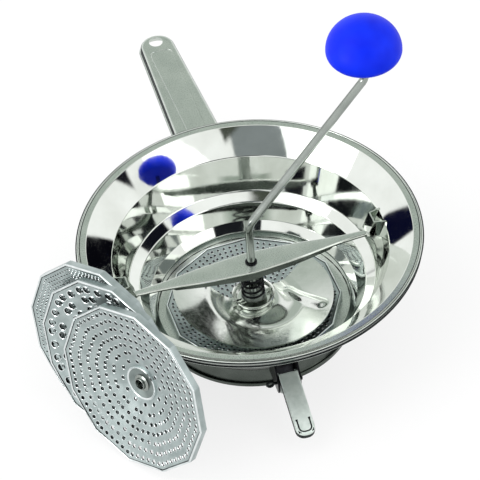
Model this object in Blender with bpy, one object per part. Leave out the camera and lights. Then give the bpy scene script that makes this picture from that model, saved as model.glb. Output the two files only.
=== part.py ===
# Food mill: a bowl with a perforated disc in its foot, a bridge across it, and a crank whose
# sprung blade wipes the disc. Three spare discs stand beside the bowl.
# Metres, +Z up. It is built round the bowl's axis, standing on the table, and in the end the
# origin moves to the middle of the bounding box's bottom. The handle points along +Y and a
# little to -X, and the support arm points the other way.

import math

import bmesh
import bpy
from mathutils import Matrix, Vector

for item in list(bpy.data.objects):
    bpy.data.objects.remove(item, do_unlink=True)

# Fits shared by all pieces
touch_gap = 0.0003
running_gap = 0.00025
cut_overrun = 0.004
weld_distance = 0.000001

# Bowl
rim_radius = 0.155
rim_height = 0.0998
bowl_sheet = 0.0011
bead_radius = 0.0038
lip_radius = 0.1455
flare_foot_radius = 0.1239
flare_foot_height = 0.0804
wall_foot_radius = 0.111
wall_foot_height = 0.049
step_radius = 0.1018
step_height = 0.0433
basin_radius = 0.094
basin_height = 0.0275
collar_radius = 0.0872
collar_height = 0.0195
bowl_fillet = 0.003
hem_width = 0.003
hem_height = 0.0032
bowl_segments = 36
turned_segments = 24
round_hole_segments = 16
small_hole_segments = 8

# Seat ring in the foot
seat_sheet = 0.001
seat_height = 0.012
seat_leg = 0.0085
seat_overlap = 0.002

# Discs
disc_radius = 0.080
disc_sides = 12
disc_sheet = 0.001
disc_skirt = 0.0078
disc_depth = 0.0145
disc_rim_width = 0.005
disc_edge_fillet = 0.0012
disc_crease_drop = 0.0014
hub_radius = 0.0165
bush_bore = 0.008
bush_wall = 0.0014
bush_flange_width = 0.0025
bush_flange = 0.0009
bush_rise = 0.0035
hole_sides = 6
hole_row_shares = (0.34, 0.72)
fine_hole = 0.0015
medium_hole = 0.002
coarse_hole = 0.003
ring_hole = 0.007

# Handle
handle_azimuth = math.radians(104.7)
handle_height = 0.090
handle_sheet = 0.0012
handle_depth = 0.008
handle_root_width = 0.0450
handle_tip_width = 0.0325
handle_reach = 0.303
handle_edge = 0.003
hanging_hole = 0.0125
hanging_wall = 0.0045

# Support arm, its bracket and its split pin
support_azimuth = math.radians(-78)
pivot_reach = 0.116
pivot_height = 0.030
arm_droop = math.radians(16.5)
arm_width = 0.0175
arm_sheet = 0.0013
arm_rise = 0.013
arm_flange = 0.0075
arm_length = 0.061
arm_heel = 0.002
ear_reach = 0.008
ear_drop = 0.0053
arm_edge = 0.002
arm_tip_fillet = 0.0075
bracket_sheet = 0.0015
bracket_side_gap = 0.0004
bracket_reach = 0.0065
bracket_toe = 0.0022
bracket_shoulder = 0.0033
bracket_drop = 0.0085
bracket_root = 0.092
bracket_top = 0.047
pin_diameter = 0.0026
pin_overhang = 0.0025
pin_eye_radius = 0.0029
pin_tip_length = 0.0052
pin_tip_radius = 0.0009

# Bridge and its sockets
bridge_azimuth = math.radians(14.7)
bridge_height = 0.0665
bridge_sheet = 0.0012
bridge_reach = 0.1125
bridge_stations = (0.0, 0.045, 0.075, 0.090, bridge_reach)
bridge_half_widths = (0.0135, 0.010, 0.0054, 0.0038, 0.0027)
bridge_depth = 0.0095
bridge_end_depth = 0.0035
bridge_edge = 0.0012
socket_sheet = 0.0012
socket_height = 0.0155
socket_face = 0.014
socket_foot = 0.003
socket_splay = 0.0035
socket_stand = 0.0105

# Crank
rod_diameter = 0.0075
rod_foot_height = 0.0012
crank_azimuth = math.radians(22)
crank_bend_height = 0.111
crank_reach = 0.1187
crank_top_bend = 0.2349
crank_bend_radius = 0.018
crank_top_radius = 0.011
rod_sides = 12
bend_steps = 5
clip_groove = 0.0005
clip_thickness = 0.001
clip_width = 0.0019
clip_mouth = math.radians(60)
clip_steps = 8

# Blade, its cup, the drive pin and the spring
blade_sheet = 0.0015
blade_plate_radius = 0.0195
blade_plate_height = 0.019
blade_wipe_gap = 0.0005
blade_rise = 0.024
blade_blend = 0.025
blade_start = math.radians(174)
blade_rings = 6
blade_full_spokes = 36
blade_spokes = 23
cup_sheet = 0.0012
cup_floor_radius = 0.015
cup_radius = 0.0185
cup_height = 0.006
drive_pin_diameter = 0.0035
drive_pin_overhang = 0.002
washer_thickness = 0.001
spring_wire = 0.002
spring_foot_radius = 0.0100
spring_top_radius = 0.0086
spring_end_turns = 1.0
spring_end_pitch = 0.0026
spring_turns = 6.5
curl_points = 10

# Knob
knob_radius = 0.0333
knob_crown = 0.030
knob_skirt = 0.009
knob_flat_radius = 0.0235
knob_wall = 0.0022
knob_stand = 0.0338
knob_floor = 0.002
knob_sleeve_wall = 0.0022
knob_sleeve_top = 0.009
push_cap_wall = 0.0016
push_cap_top = 0.0012
push_cap_height = 0.0045

# Spare discs: the first leans on the bowl's rim and each next one on the one behind it
spare_azimuth = math.radians(-134)
spare_lean = math.radians(9)
spare_gap = 0.0004
spare_shift = -0.028
spare_middle_step = 0.022
spare_front_step = 0.036
contact_search = math.radians(30)
contact_steps = 120
settle_rounds = 8

crease_angle = math.radians(35)

# Worked out from the sizes above
disc_flat_share = math.cos(math.pi / disc_sides)
crease_radius = disc_radius - disc_rim_width
bush_radius = bush_bore / 2 + bush_wall
disc_rim_height = seat_height + touch_gap + disc_skirt
knob_height = crank_top_bend + knob_stand
cap_seat = touch_gap + washer_thickness + touch_gap
clip_height = bridge_height + touch_gap
cup_floor_height = blade_plate_height + blade_sheet + touch_gap
drive_pin_height = cup_floor_height + cup_sheet + touch_gap + drive_pin_diameter / 2
spring_seat_height = drive_pin_height + drive_pin_diameter / 2 + touch_gap
spring_foot = spring_seat_height + washer_thickness + touch_gap + spring_wire / 2
bridge_washer_height = bridge_height - bridge_sheet - touch_gap - washer_thickness
spring_top = bridge_washer_height - touch_gap - spring_wire / 2


def makeMaterial(name, colour, roughness, metallic):
    made = bpy.data.materials.new(name)
    made.use_nodes = True
    shader = made.node_tree.nodes["Principled BSDF"]
    shader.inputs["Base Color"].default_value = (*colour, 1)
    shader.inputs["Roughness"].default_value = roughness
    shader.inputs["Metallic"].default_value = metallic
    return made


polished_steel = makeMaterial("polished_steel", (0.72, 0.74, 0.72), 0.08, 1)
satin_steel = makeMaterial("satin_steel", (0.52, 0.55, 0.53), 0.35, 1)
disc_steel = makeMaterial("disc_steel", (0.62, 0.67, 0.68), 0.3, 1)
dark_steel = makeMaterial("dark_steel", (0.09, 0.09, 0.10), 0.4, 1)
blue_plastic = makeMaterial("blue_plastic", (0.01, 0.06, 0.95), 0.35, 0)


def addEmpty(name, parent=None, matrix=None):
    thing = bpy.data.objects.new(name, None)
    bpy.context.scene.collection.objects.link(thing)
    thing.parent = parent
    thing.matrix_basis = matrix or Matrix()
    return thing


def addObject(name, bm, look, parent=None, matrix=None):
    bmesh.ops.recalc_face_normals(bm, faces=bm.faces)
    mesh = bpy.data.meshes.new(name)
    bm.to_mesh(mesh)
    bm.free()
    mesh.shade_smooth()
    mesh.set_sharp_from_angle(angle=crease_angle)
    if look:
        mesh.materials.append(look)
    thing = bpy.data.objects.new(name, mesh)
    bpy.context.scene.collection.objects.link(thing)
    thing.parent = parent
    thing.matrix_basis = matrix or Matrix()
    return thing


def addCutter(name, bm, parent=None, matrix=None):
    cutter = addObject(name, bm, None, parent, matrix)
    cutter.hide_render = True
    cutter.display_type = "WIRE"
    return cutter


def combine(thing, cutter, operation="DIFFERENCE"):
    change = thing.modifiers.new(cutter.name, "BOOLEAN")
    change.operation = operation
    change.object = cutter
    change.solver = "EXACT"


# Outlines are lists of 2D points. A third value on a corner is the radius that rounds it.
def rounded(points, steps=1):
    corners = [Vector(p[:2]) for p in points]
    outline = []
    for i, p in enumerate(points):
        radius = p[2] if len(p) > 2 else 0
        if not radius or i in (0, len(points) - 1):
            outline.append(corners[i])
            continue
        back = corners[i - 1] - corners[i]
        ahead = corners[i + 1] - corners[i]
        half_turn = (math.pi - back.angle(ahead)) / 2
        reach = min(radius * math.tan(half_turn), back.length / 2, ahead.length / 2)
        start = corners[i] + back.normalized() * reach
        end = corners[i] + ahead.normalized() * reach
        for k in range(steps + 1):
            t = k / steps
            curve = start * (1 - t) ** 2 + corners[i] * 2 * t * (1 - t) + end * t ** 2
            outline.append(curve)
    return outline


# The same line moved to its left, with mitred corners
def offsetLine(line, distance):
    moved = []
    for i, p in enumerate(line):
        sides = []
        if i:
            run = (p - line[i - 1]).normalized()
            sides.append(Vector((-run.y, run.x)))
        if i < len(line) - 1:
            run = (line[i + 1] - p).normalized()
            sides.append(Vector((-run.y, run.x)))
        side = sum(sides, Vector((0, 0)))
        side = side * len(sides) / max(side.length_squared, 1)
        moved.append(p + side * distance)
    return moved


def sheetLoop(line, thickness):
    return line + offsetLine(line, thickness)[::-1]


def lathe(outline, segments, closed=True):
    bm = bmesh.new()
    ring = [bm.verts.new((r, 0, z)) for r, z in outline]
    pairs = list(zip(ring, ring[1:]))
    if closed:
        pairs.append((ring[-1], ring[0]))
    edges = [bm.edges.new(pair) for pair in pairs]
    bmesh.ops.spin(bm, geom=ring + edges, cent=(0, 0, 0), axis=(0, 0, 1), angle=math.tau,
                   steps=segments, use_merge=True)
    bmesh.ops.remove_doubles(bm, verts=bm.verts, dist=weld_distance)
    return bm


# An outline in the XY plane, raised from one height to another
def prism(outline, low, high):
    bm = bmesh.new()
    face = bm.faces.new([bm.verts.new((x, y, low)) for x, y in outline])
    raised = bmesh.ops.extrude_face_region(bm, geom=[face])
    verts = [v for v in raised["geom"] if isinstance(v, bmesh.types.BMVert)]
    bmesh.ops.translate(bm, verts=verts, vec=(0, 0, high - low))
    return bm


# An outline in the XZ plane, spread to both sides of it
def sidePrism(outline, half_width):
    bm = prism(outline, -half_width, half_width)
    bmesh.ops.rotate(bm, verts=bm.verts, matrix=Matrix.Rotation(math.pi / 2, 3, "X"))
    return bm


def box(low, high):
    corners = [(low[0], low[1]), (high[0], low[1]), (high[0], high[1]), (low[0], high[1])]
    return prism(corners, low[2], high[2])


def rod(radius, low, high, sides):
    bm = bmesh.new()
    bmesh.ops.create_cone(bm, cap_ends=True, segments=sides, radius1=radius, radius2=radius,
                          depth=high - low, matrix=Matrix.Translation((0, 0, (low + high) / 2)))
    return bm


def ringBody(inner, outer, low, high, segments):
    return lathe([(inner, low), (outer, low), (outer, high), (inner, high)], segments)


def bevelWhere(bm, width, segments, test):
    edges = [e for e in bm.edges if test(*(v.co for v in e.verts))]
    bmesh.ops.bevel(bm, geom=edges, offset=width, segments=segments, profile=0.5,
                    affect="EDGES", clamp_overlap=True)


# Bowl: one line down its inner side, from the curled bead to the hem under the foot
def beadLine():
    centre = Vector((rim_radius - bead_radius, rim_height - bead_radius))
    angles = [math.radians(a) for a in (-190, -145, -90, -45, 0, 45, 90)]
    return [centre + bead_radius * Vector((math.cos(a), math.sin(a))) for a in angles]


def innerLine():
    return rounded([
        (rim_radius - bead_radius, rim_height),
        (lip_radius, rim_height, bowl_fillet),
        (flare_foot_radius, flare_foot_height, bowl_fillet),
        (wall_foot_radius, wall_foot_height, bowl_fillet),
        (step_radius, step_height, bowl_fillet),
        (basin_radius, basin_height, bowl_fillet),
        (collar_radius, collar_height, bowl_fillet),
        (collar_radius, 0),
    ])


# Radius of the bowl's inner side at a height
def wallRadius(height):
    line = innerLine()
    for upper, lower in zip(line, line[1:]):
        if lower.y <= height < upper.y:
            share = (height - lower.y) / (upper.y - lower.y)
            return lower.x + share * (upper.x - lower.x)
    return line[0].x


def makeBowl():
    hem = [Vector((collar_radius + hem_width, 0)), Vector((collar_radius + hem_width, hem_height))]
    line = beadLine()[:-1] + innerLine() + hem
    return addObject("bowl", lathe(sheetLoop(line, bowl_sheet), bowl_segments), polished_steel)


# What lies outside the bowl's wall, for pieces that are welded under it
def makeOutsideCutter():
    line = offsetLine(innerLine(), bowl_sheet + touch_gap)
    outline = [Vector((0, rim_height))] + line + [Vector((0, 0))]
    return addCutter("bowl_outside_cut", lathe(outline, bowl_segments, closed=False))


# What lies inside the bowl's wall, for pieces that are welded in it
def makeInsideCutter():
    line = offsetLine(innerLine()[1:], -touch_gap)
    outline = [Vector((0, line[0].y))] + line + [Vector((0, line[-1].y))]
    return addCutter("bowl_inside_cut", lathe(outline, bowl_segments, closed=False))


def makeSeatRing():
    outer = collar_radius - touch_gap
    inner = disc_radius * math.cos(math.pi / disc_sides) - disc_sheet - seat_overlap
    outline = [
        (inner, seat_height - seat_sheet),
        (outer - seat_sheet, seat_height - seat_sheet),
        (outer - seat_sheet, seat_height - seat_leg),
        (outer, seat_height - seat_leg),
        (outer, seat_height),
        (inner, seat_height),
    ]
    return addObject("disc_seat_ring", lathe(outline, bowl_segments), satin_steel)


# Discs. Their own frame has the rim's face at height zero and the funnel below it.
def discLine():
    bore = (bush_radius + touch_gap) / disc_flat_share
    return rounded([
        (disc_radius, -disc_skirt),
        (disc_radius, 0, disc_edge_fillet),
        (crease_radius + disc_edge_fillet, 0, disc_edge_fillet),
        (crease_radius, -disc_crease_drop),
        (hub_radius, -disc_depth),
        (bore, -disc_depth),
    ])


# Height of the funnel at the middle of a side, where it lies highest
def funnelHeight(radius):
    inner = hub_radius * disc_flat_share
    outer = crease_radius * disc_flat_share
    share = (radius - inner) / (outer - inner)
    return -disc_depth + share * (disc_depth - disc_crease_drop)


def discHoles(diameter):
    bm = bmesh.new()
    inner = hub_radius * disc_flat_share
    outer = crease_radius * disc_flat_share
    slope = math.atan2(disc_depth - disc_crease_drop, outer - inner)
    for side in range(disc_sides):
        turn = Matrix.Rotation(math.tau * (side + 0.5) / disc_sides, 4, "Z")
        for share in hole_row_shares:
            radius = inner + share * (outer - inner)
            place = Matrix.Translation((radius, 0, funnelHeight(radius)))
            lean = Matrix.Rotation(-slope, 4, "Y")
            bmesh.ops.create_cone(bm, cap_ends=True, segments=hole_sides, radius1=diameter / 2,
                                  radius2=diameter / 2, depth=cut_overrun, matrix=turn @ place @ lean)
    return bm


def makeDisc(name, diameter, frame):
    disc = addObject(name, lathe(sheetLoop(discLine(), disc_sheet), disc_sides), disc_steel, frame)
    combine(disc, addCutter(name + "_cut", discHoles(diameter), frame))
    low = -disc_depth - disc_sheet - touch_gap
    high = -disc_depth + touch_gap
    bore = bush_bore / 2
    flange = bush_radius + bush_flange_width
    outline = [
        (bore, low - bush_flange),
        (flange, low - bush_flange),
        (flange, low),
        (bush_radius, low),
        (bush_radius, high),
        (flange, high),
        (flange, high + bush_flange),
        (bush_radius, high + bush_flange),
        (bush_radius, high + bush_rise),
        (bore, high + bush_rise),
    ]
    addObject(name + "_bush", lathe(outline, round_hole_segments), satin_steel, frame)


# How far the middle of a side lies in from its corners, on a ring of flat sides
def facetShare(angle, sides):
    return math.cos(math.pi / sides) / math.cos(angle % (math.tau / sides) - math.pi / sides)


# Gap from the back of the first spare's funnel to the bowl's bead, at one angle along the bead
def beadGap(angle, reach, height):
    bead = (rim_radius - bead_radius) * facetShare(spare_azimuth + angle, bowl_segments)
    outward = bead * math.cos(angle) - reach
    upward = rim_height - bead_radius - height
    sideways = bead * math.sin(angle) - spare_shift
    behind = outward * math.cos(spare_lean) + upward * math.sin(spare_lean)
    up_face = upward * math.cos(spare_lean) - outward * math.sin(spare_lean)
    radius = math.hypot(sideways, up_face) / facetShare(math.atan2(up_face, sideways), disc_sides)
    slope = math.atan2(disc_depth - disc_crease_drop, crease_radius - hub_radius)
    back = max(radius - hub_radius, 0) * math.tan(slope) - disc_depth - disc_sheet
    return (back - behind) * math.cos(slope) - bead_radius


# How far out the first spare stands, so that its funnel's back rests on the bowl's bead
def spareReach(height):
    reach = rim_radius + disc_depth
    angles = [contact_search * (2 * k / contact_steps - 1) for k in range(contact_steps + 1)]
    for settle in range(settle_rounds):
        least = min(beadGap(a, reach, height) for a in angles)
        reach += (spare_gap - least) / math.cos(spare_lean)
    return reach


# How far out the next spare stands, so that its skirt and its funnel clear the rim behind it,
# and its hub and bush the funnel behind them
def stackStep(aside):
    under = disc_depth + disc_sheet
    hub = under + funnelHeight(aside + hub_radius)
    bush = under + touch_gap + bush_flange + funnelHeight(aside + bush_radius + bush_flange_width)
    slope = math.atan2(disc_depth - disc_crease_drop, crease_radius - hub_radius)
    rim_edge = (crease_radius + disc_edge_fillet) * disc_flat_share - aside
    funnel = disc_sheet / math.cos(slope) - funnelHeight(rim_edge * disc_flat_share)
    return (max(disc_skirt, hub, bush, funnel) + spare_gap) / math.cos(spare_lean)


def makeSpareDiscs():
    out = Vector((math.cos(spare_azimuth), math.sin(spare_azimuth), 0))
    along = Vector((-out.y, out.x, 0))
    face = out * math.cos(spare_lean) + Vector((0, 0, math.sin(spare_lean)))
    turn = Matrix((along, face.cross(along), face)).transposed().to_4x4()
    height = disc_radius * math.cos(spare_lean) + disc_skirt * math.sin(spare_lean)
    reach = spareReach(height)
    shift = spare_shift
    for name, diameter, step in spare_discs:
        if step:
            reach += stackStep(step)
            shift += step
        centre = out * reach + along * shift
        centre.z = height
        makeDisc(name, diameter, addEmpty(name + "_place", matrix=Matrix.Translation(centre) @ turn))


# Handle: a channel open below, with a rounded tip and a hanging hole
def handleOutline(inset):
    tip_half = handle_tip_width / 2 - inset
    root_half = handle_root_width / 2 - inset
    centre = handle_reach - handle_tip_width / 2
    arc = [math.radians(a) for a in range(-90, 91, 30)]
    tip = [(centre + tip_half * math.cos(a), tip_half * math.sin(a)) for a in arc]
    root = wallRadius(handle_height - handle_depth)
    return [(root, -root_half)] + tip + [(root, root_half)]


def makeHandle(outside):
    frame = addEmpty("handle_frame", matrix=Matrix.Rotation(handle_azimuth, 4, "Z"))
    outer = prism(handleOutline(0), handle_height - handle_depth, handle_height)
    bevelWhere(outer, handle_edge, 2, lambda a, b: min(a.z, b.z) > handle_height - touch_gap)
    inner_top = handle_height - handle_sheet
    inner = prism(handleOutline(handle_sheet), handle_height - handle_depth - cut_overrun, inner_top)
    inner_edge = handle_edge - handle_sheet
    bevelWhere(inner, inner_edge, 2, lambda a, b: min(a.z, b.z) > inner_top - touch_gap)
    handle = addObject("handle", outer, satin_steel, frame)
    combine(handle, addCutter("handle_inside_cut", inner, frame))
    hole_reach = handle_reach - hanging_wall - hanging_hole / 2
    hole = rod(hanging_hole / 2, handle_height - handle_depth, handle_height + cut_overrun,
               round_hole_segments)
    place = Matrix.Translation((hole_reach, 0, 0))
    combine(handle, addCutter("hanging_hole_cut", hole, frame, place))
    combine(handle, outside)


# Support arm in its own frame: the pivot is the origin and X runs out along the arm
def armOutline(inset):
    low = arm_rise - arm_flange
    ear_end = ear_reach + arm_flange
    return [
        (-ear_reach, -ear_drop),
        (ear_reach, -ear_drop),
        (ear_end, low),
        (arm_length - inset, low),
        (arm_length - inset, arm_rise - inset),
        (-arm_heel, arm_rise - inset),
        (-ear_reach, arm_rise - 2 * arm_sheet - arm_flange),
    ]


def makeSupport(outside):
    frame = addEmpty("support_frame", matrix=Matrix.Rotation(support_azimuth, 4, "Z"))
    droop = Matrix.Rotation(arm_droop, 4, "Y")
    pivot_place = Matrix.Translation((pivot_reach, 0, pivot_height))
    pivot = addEmpty("support_pivot", frame, pivot_place @ droop)
    half = arm_width / 2
    outer = sidePrism(armOutline(0), half)
    bevelWhere(outer, arm_tip_fillet, 3, lambda a, b: min(a.x, b.x) > arm_length - touch_gap
               and abs(a.y - b.y) < touch_gap)
    bevelWhere(outer, arm_edge, 2, lambda a, b: min(a.z, b.z) > arm_rise - touch_gap
               and max(a.x, b.x) > arm_tip_fillet and abs(a.x - b.x) + abs(a.y - b.y) > arm_edge / 2)
    arm = addObject("support_arm", outer, satin_steel, pivot)
    inside_low = (-ear_reach - cut_overrun, -half + arm_sheet, -ear_drop - cut_overrun)
    inside_high = (arm_length - arm_sheet, half - arm_sheet, arm_rise - arm_sheet)
    inner = box(inside_low, inside_high)
    bevelWhere(inner, arm_tip_fillet - arm_sheet, 3, lambda a, b: min(a.x, b.x) > 0
               and abs(a.z - b.z) > arm_flange)
    combine(arm, addCutter("arm_inside_cut", inner, pivot))
    pin_hole = pin_diameter / 2 + touch_gap
    across = Matrix.Rotation(math.pi / 2, 4, "X")
    arm_hole = rod(pin_hole, -arm_width, arm_width, small_hole_segments)
    combine(arm, addCutter("arm_pin_cut", arm_hole, pivot, across))

    # The bracket's back plate stands just inside the ears and stops them when the arm is down
    gap_half = half + bracket_side_gap
    cheek_half = gap_half + bracket_sheet
    ear_back = ear_reach * math.cos(arm_droop) + ear_drop * math.sin(arm_droop)
    plate_face = pivot_reach - ear_back - touch_gap
    low = pivot_height - bracket_drop
    outline = [
        (bracket_root, low),
        (pivot_reach + bracket_toe, low),
        (pivot_reach + bracket_reach, pivot_height - bracket_reach),
        (pivot_reach + bracket_reach, pivot_height + bracket_reach),
        (pivot_reach - bracket_shoulder, bracket_top),
        (bracket_root, bracket_top),
    ]
    bracket = addObject("support_bracket", sidePrism(outline, cheek_half), dark_steel, frame)
    front = box((plate_face, -gap_half, 0), (pivot_reach + bracket_reach + cut_overrun, gap_half, rim_height))
    combine(bracket, addCutter("bracket_front_cut", front, frame))
    back = box((0, -gap_half, 0), (plate_face - bracket_sheet, gap_half, rim_height))
    combine(bracket, addCutter("bracket_back_cut", back, frame))
    bracket_hole = rod(pin_hole, -arm_width, arm_width, small_hole_segments)
    hole_place = Matrix.Translation((pivot_reach, 0, pivot_height)) @ across
    combine(bracket, addCutter("bracket_pin_cut", bracket_hole, frame, hole_place))
    combine(bracket, outside)

    # Split pin: a shaft with an eye at one end and two bent tips at the other
    reach = cheek_half + pin_overhang
    core = rod(pin_diameter / 2, -reach, reach, small_hole_segments)
    shaft = addObject("support_pin", core, satin_steel, frame, hole_place)
    tube = pin_diameter / 2
    circle = [math.tau * k / hole_sides for k in range(hole_sides)]
    outline = [(pin_eye_radius + tube * math.cos(a), tube * math.sin(a)) for a in circle]
    eye = lathe(outline, rod_sides)
    turn_eye = Matrix.Translation((0, 0, reach + pin_eye_radius)) @ Matrix.Rotation(math.pi / 2, 4, "Y")
    combine(shaft, addCutter("pin_eye_join", eye, frame, hole_place @ turn_eye), "UNION")
    tips = rod(pin_tip_radius, -pin_tip_length / 2, pin_tip_length / 2, small_hole_segments)
    turn_tips = Matrix.Translation((0, 0, pin_diameter / 2 - reach)) @ Matrix.Rotation(math.pi / 2, 4, "Y")
    combine(shaft, addCutter("pin_tips_join", tips, frame, hole_place @ turn_tips), "UNION")


# Bridge: a plate that narrows to both ends, with its long edges turned down
def bridgeOutline(inset, overrun):
    half = [(x, w - inset) for x, w in zip(bridge_stations, bridge_half_widths)]
    half[-1] = (half[-1][0] + overrun, half[-1][1])
    whole = [(-x, w) for x, w in half[:0:-1]] + half
    return [(x, -w) for x, w in whole] + [(x, w) for x, w in whole[::-1]]


def bridgeDepth(x):
    share = min(abs(x) / bridge_stations[-2], 1)
    return bridge_depth + (bridge_end_depth - bridge_depth) * share


def makeBridge():
    frame = addEmpty("bridge_frame", matrix=Matrix.Rotation(bridge_azimuth, 4, "Z"))
    outer = prism(bridgeOutline(0, 0), bridge_height - bridge_depth, bridge_height)
    for v in outer.verts:
        if v.co.z < bridge_height - touch_gap:
            v.co.z = bridge_height - bridgeDepth(v.co.x)
    bevelWhere(outer, bridge_edge, 1, lambda a, b: min(a.z, b.z) > bridge_height - touch_gap
               and abs(a.x - b.x) > touch_gap)
    bridge = addObject("bridge", outer, satin_steel, frame)
    low = bridge_height - bridge_depth - cut_overrun
    inner = prism(bridgeOutline(bridge_sheet, cut_overrun), low, bridge_height - bridge_sheet)
    combine(bridge, addCutter("bridge_inside_cut", inner, frame))
    hole = rod(rod_diameter / 2 + touch_gap, low, bridge_height + cut_overrun, round_hole_segments)
    combine(bridge, addCutter("bridge_hole_cut", hole, frame))


# Sockets: straps on the wall that hold the bridge's ends down against the spring
def makeSocket(name, azimuth, inside):
    wall_lean = math.atan2(flare_foot_radius - wall_foot_radius, flare_foot_height - wall_foot_height)
    low = bridge_height + touch_gap
    wall_radius = wallRadius(low)
    plan = [
        (-cut_overrun, -socket_face / 2 - socket_splay - socket_foot),
        (-cut_overrun, -socket_face / 2 - socket_splay),
        (socket_stand, -socket_face / 2),
        (socket_stand, socket_face / 2),
        (-cut_overrun, socket_face / 2 + socket_splay),
        (-cut_overrun, socket_face / 2 + socket_splay + socket_foot),
    ]
    line = [Vector((wall_radius - m, t)) for m, t in plan]
    outline = sheetLoop(line, -socket_sheet)
    bm = prism(outline, low, low + socket_height)
    for v in bm.verts:
        v.co.x += (v.co.z - low) * math.tan(wall_lean)
    socket = addObject(name, bm, satin_steel, matrix=Matrix.Rotation(azimuth, 4, "Z"))
    combine(socket, inside, "INTERSECT")


# Crank and all that turns with it
def crankPath():
    corners = [
        (0, rod_foot_height),
        (0, crank_bend_height, crank_bend_radius),
        (crank_reach, crank_top_bend, crank_top_radius),
        (crank_reach, knob_height + knob_sleeve_top + cap_seat + push_cap_height - push_cap_top),
    ]
    line = []
    for i, p in enumerate(corners):
        if i in (0, len(corners) - 1):
            line.append(Vector(p[:2]))
            continue
        here = Vector(p[:2])
        back = (Vector(corners[i - 1][:2]) - here).normalized()
        ahead = (Vector(corners[i + 1][:2]) - here).normalized()
        half_turn = (math.pi - back.angle(ahead)) / 2
        centre = here + (back + ahead).normalized() * p[2] / math.cos(half_turn)
        start = here + back * p[2] * math.tan(half_turn) - centre
        side = 1 if start.cross(ahead) > 0 else -1
        for k in range(bend_steps + 1):
            turn = side * 2 * half_turn * k / bend_steps
            line.append(centre + Matrix.Rotation(turn, 2) @ start)
    return [Vector((x, 0, z)) for x, z in line]


def makeCrankRod(rotor):
    curve = bpy.data.curves.new("crank_path", "CURVE")
    curve.dimensions = "3D"
    curve.bevel_depth = rod_diameter / 2
    curve.bevel_resolution = rod_sides // 2 - 2
    curve.use_fill_caps = True
    points = crankPath()
    spline = curve.splines.new("POLY")
    spline.points.add(len(points) - 1)
    for point, place in zip(spline.points, points):
        point.co = (*place, 1)
    guide = bpy.data.objects.new("crank_path", curve)
    bpy.context.scene.collection.objects.link(guide)
    bm = bmesh.new()
    bm.from_mesh(guide.evaluated_get(bpy.context.evaluated_depsgraph_get()).to_mesh())
    bpy.data.objects.remove(guide, do_unlink=True)
    bmesh.ops.remove_doubles(bm, verts=bm.verts, dist=weld_distance)
    crank = addObject("crank_rod", bm, polished_steel, rotor)
    groove_radius = rod_diameter / 2 - clip_groove
    groove = ringBody(groove_radius, rod_diameter, clip_height - touch_gap,
                      clip_height + clip_thickness + touch_gap, rod_sides)
    combine(crank, addCutter("clip_groove_cut", groove, rotor))
    hole = rod(drive_pin_diameter / 2 + touch_gap, -rod_diameter, rod_diameter, small_hole_segments)
    combine(crank, addCutter("drive_pin_cut", hole, rotor, drivePinPlace()))


def drivePinPlace():
    return Matrix.Translation((0, 0, drive_pin_height)) @ Matrix.Rotation(math.pi / 2, 4, "Y")


def makeClip(rotor):
    inner = rod_diameter / 2 - clip_groove + touch_gap
    outer = inner + clip_width
    turned = math.tau - clip_mouth
    turn = [clip_mouth / 2 + turned * k / clip_steps for k in range(clip_steps + 1)]
    outline = [(inner * math.cos(a), inner * math.sin(a)) for a in turn]
    outline += [(outer * math.cos(a), outer * math.sin(a)) for a in turn[::-1]]
    clip = prism(outline, clip_height, clip_height + clip_thickness)
    addObject("crank_clip", clip, dark_steel, rotor, Matrix.Rotation(math.pi / 3, 4, "Z"))


# Height of the blade's under side: flat at its hub, then down to the disc where it trails and
# up off it where it leads
def bladeHeight(radius, share):
    trail = disc_rim_height + funnelHeight(radius) + blade_wipe_gap
    wing = trail + blade_rise * (1 - share) ** 2
    blend = min(max((radius - blade_plate_radius) / blade_blend, 0), 1)
    blend = blend * blend * (3 - 2 * blend)
    return blade_plate_height * (1 - blend) + wing * blend


def makeBlade(rotor):
    bore = rod_diameter / 2 + running_gap
    outer = crease_radius * disc_flat_share
    bm = bmesh.new()

    def spoke(angle, share, radii):
        places = [(r * math.cos(angle), r * math.sin(angle), bladeHeight(r, share)) for r in radii]
        return [bm.verts.new(p) for p in places]

    step = math.tau / blade_full_spokes
    plate = []
    for k in range(blade_full_spokes):
        plate.append(spoke(blade_start + step * k, 0, (bore, blade_plate_radius)))
    for here, there in zip(plate, plate[1:] + plate[:1]):
        bm.faces.new((here[0], here[1], there[1], there[0]))
    width = outer - blade_plate_radius
    radii = [blade_plate_radius + width * k / blade_rings for k in range(blade_rings + 1)]
    wing = []
    for k in range(blade_spokes + 1):
        share = k / blade_spokes
        wing.append([plate[k][1]] + spoke(blade_start + step * k, share, radii[1:]))
    for here, there in zip(wing, wing[1:]):
        for a, b, c, d in zip(here, here[1:], there[1:], there):
            bm.faces.new((a, b, c, d))
    raised = bmesh.ops.extrude_face_region(bm, geom=bm.faces[:])
    verts = [v for v in raised["geom"] if isinstance(v, bmesh.types.BMVert)]
    bmesh.ops.translate(bm, verts=verts, vec=(0, 0, blade_sheet))
    addObject("blade", bm, polished_steel, rotor)


def makeCup(rotor):
    rim_height_in_cup = cup_floor_height + cup_height
    line = rounded([
        (cup_radius, rim_height_in_cup),
        (cup_radius, cup_floor_height + cup_height / 2, cup_sheet),
        (cup_floor_radius, cup_floor_height, cup_sheet),
        (rod_diameter / 2 + running_gap, cup_floor_height),
    ])
    outline = line + offsetLine(line, -cup_sheet)[::-1]
    cup = addObject("blade_cup", lathe(outline, turned_segments), polished_steel, rotor)
    half = drive_pin_diameter / 2 + touch_gap
    low = drive_pin_height - half
    slot = box((-cup_radius - cut_overrun, -half, low), (cup_radius + cut_overrun, half, low + rim_height))
    combine(cup, addCutter("cup_slot_cut", slot, rotor))


def makeDrivePin(rotor):
    reach = cup_radius + drive_pin_overhang
    pin = rod(drive_pin_diameter / 2, -reach, reach, small_hole_segments)
    addObject("drive_pin", pin, satin_steel, rotor, drivePinPlace())


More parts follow.
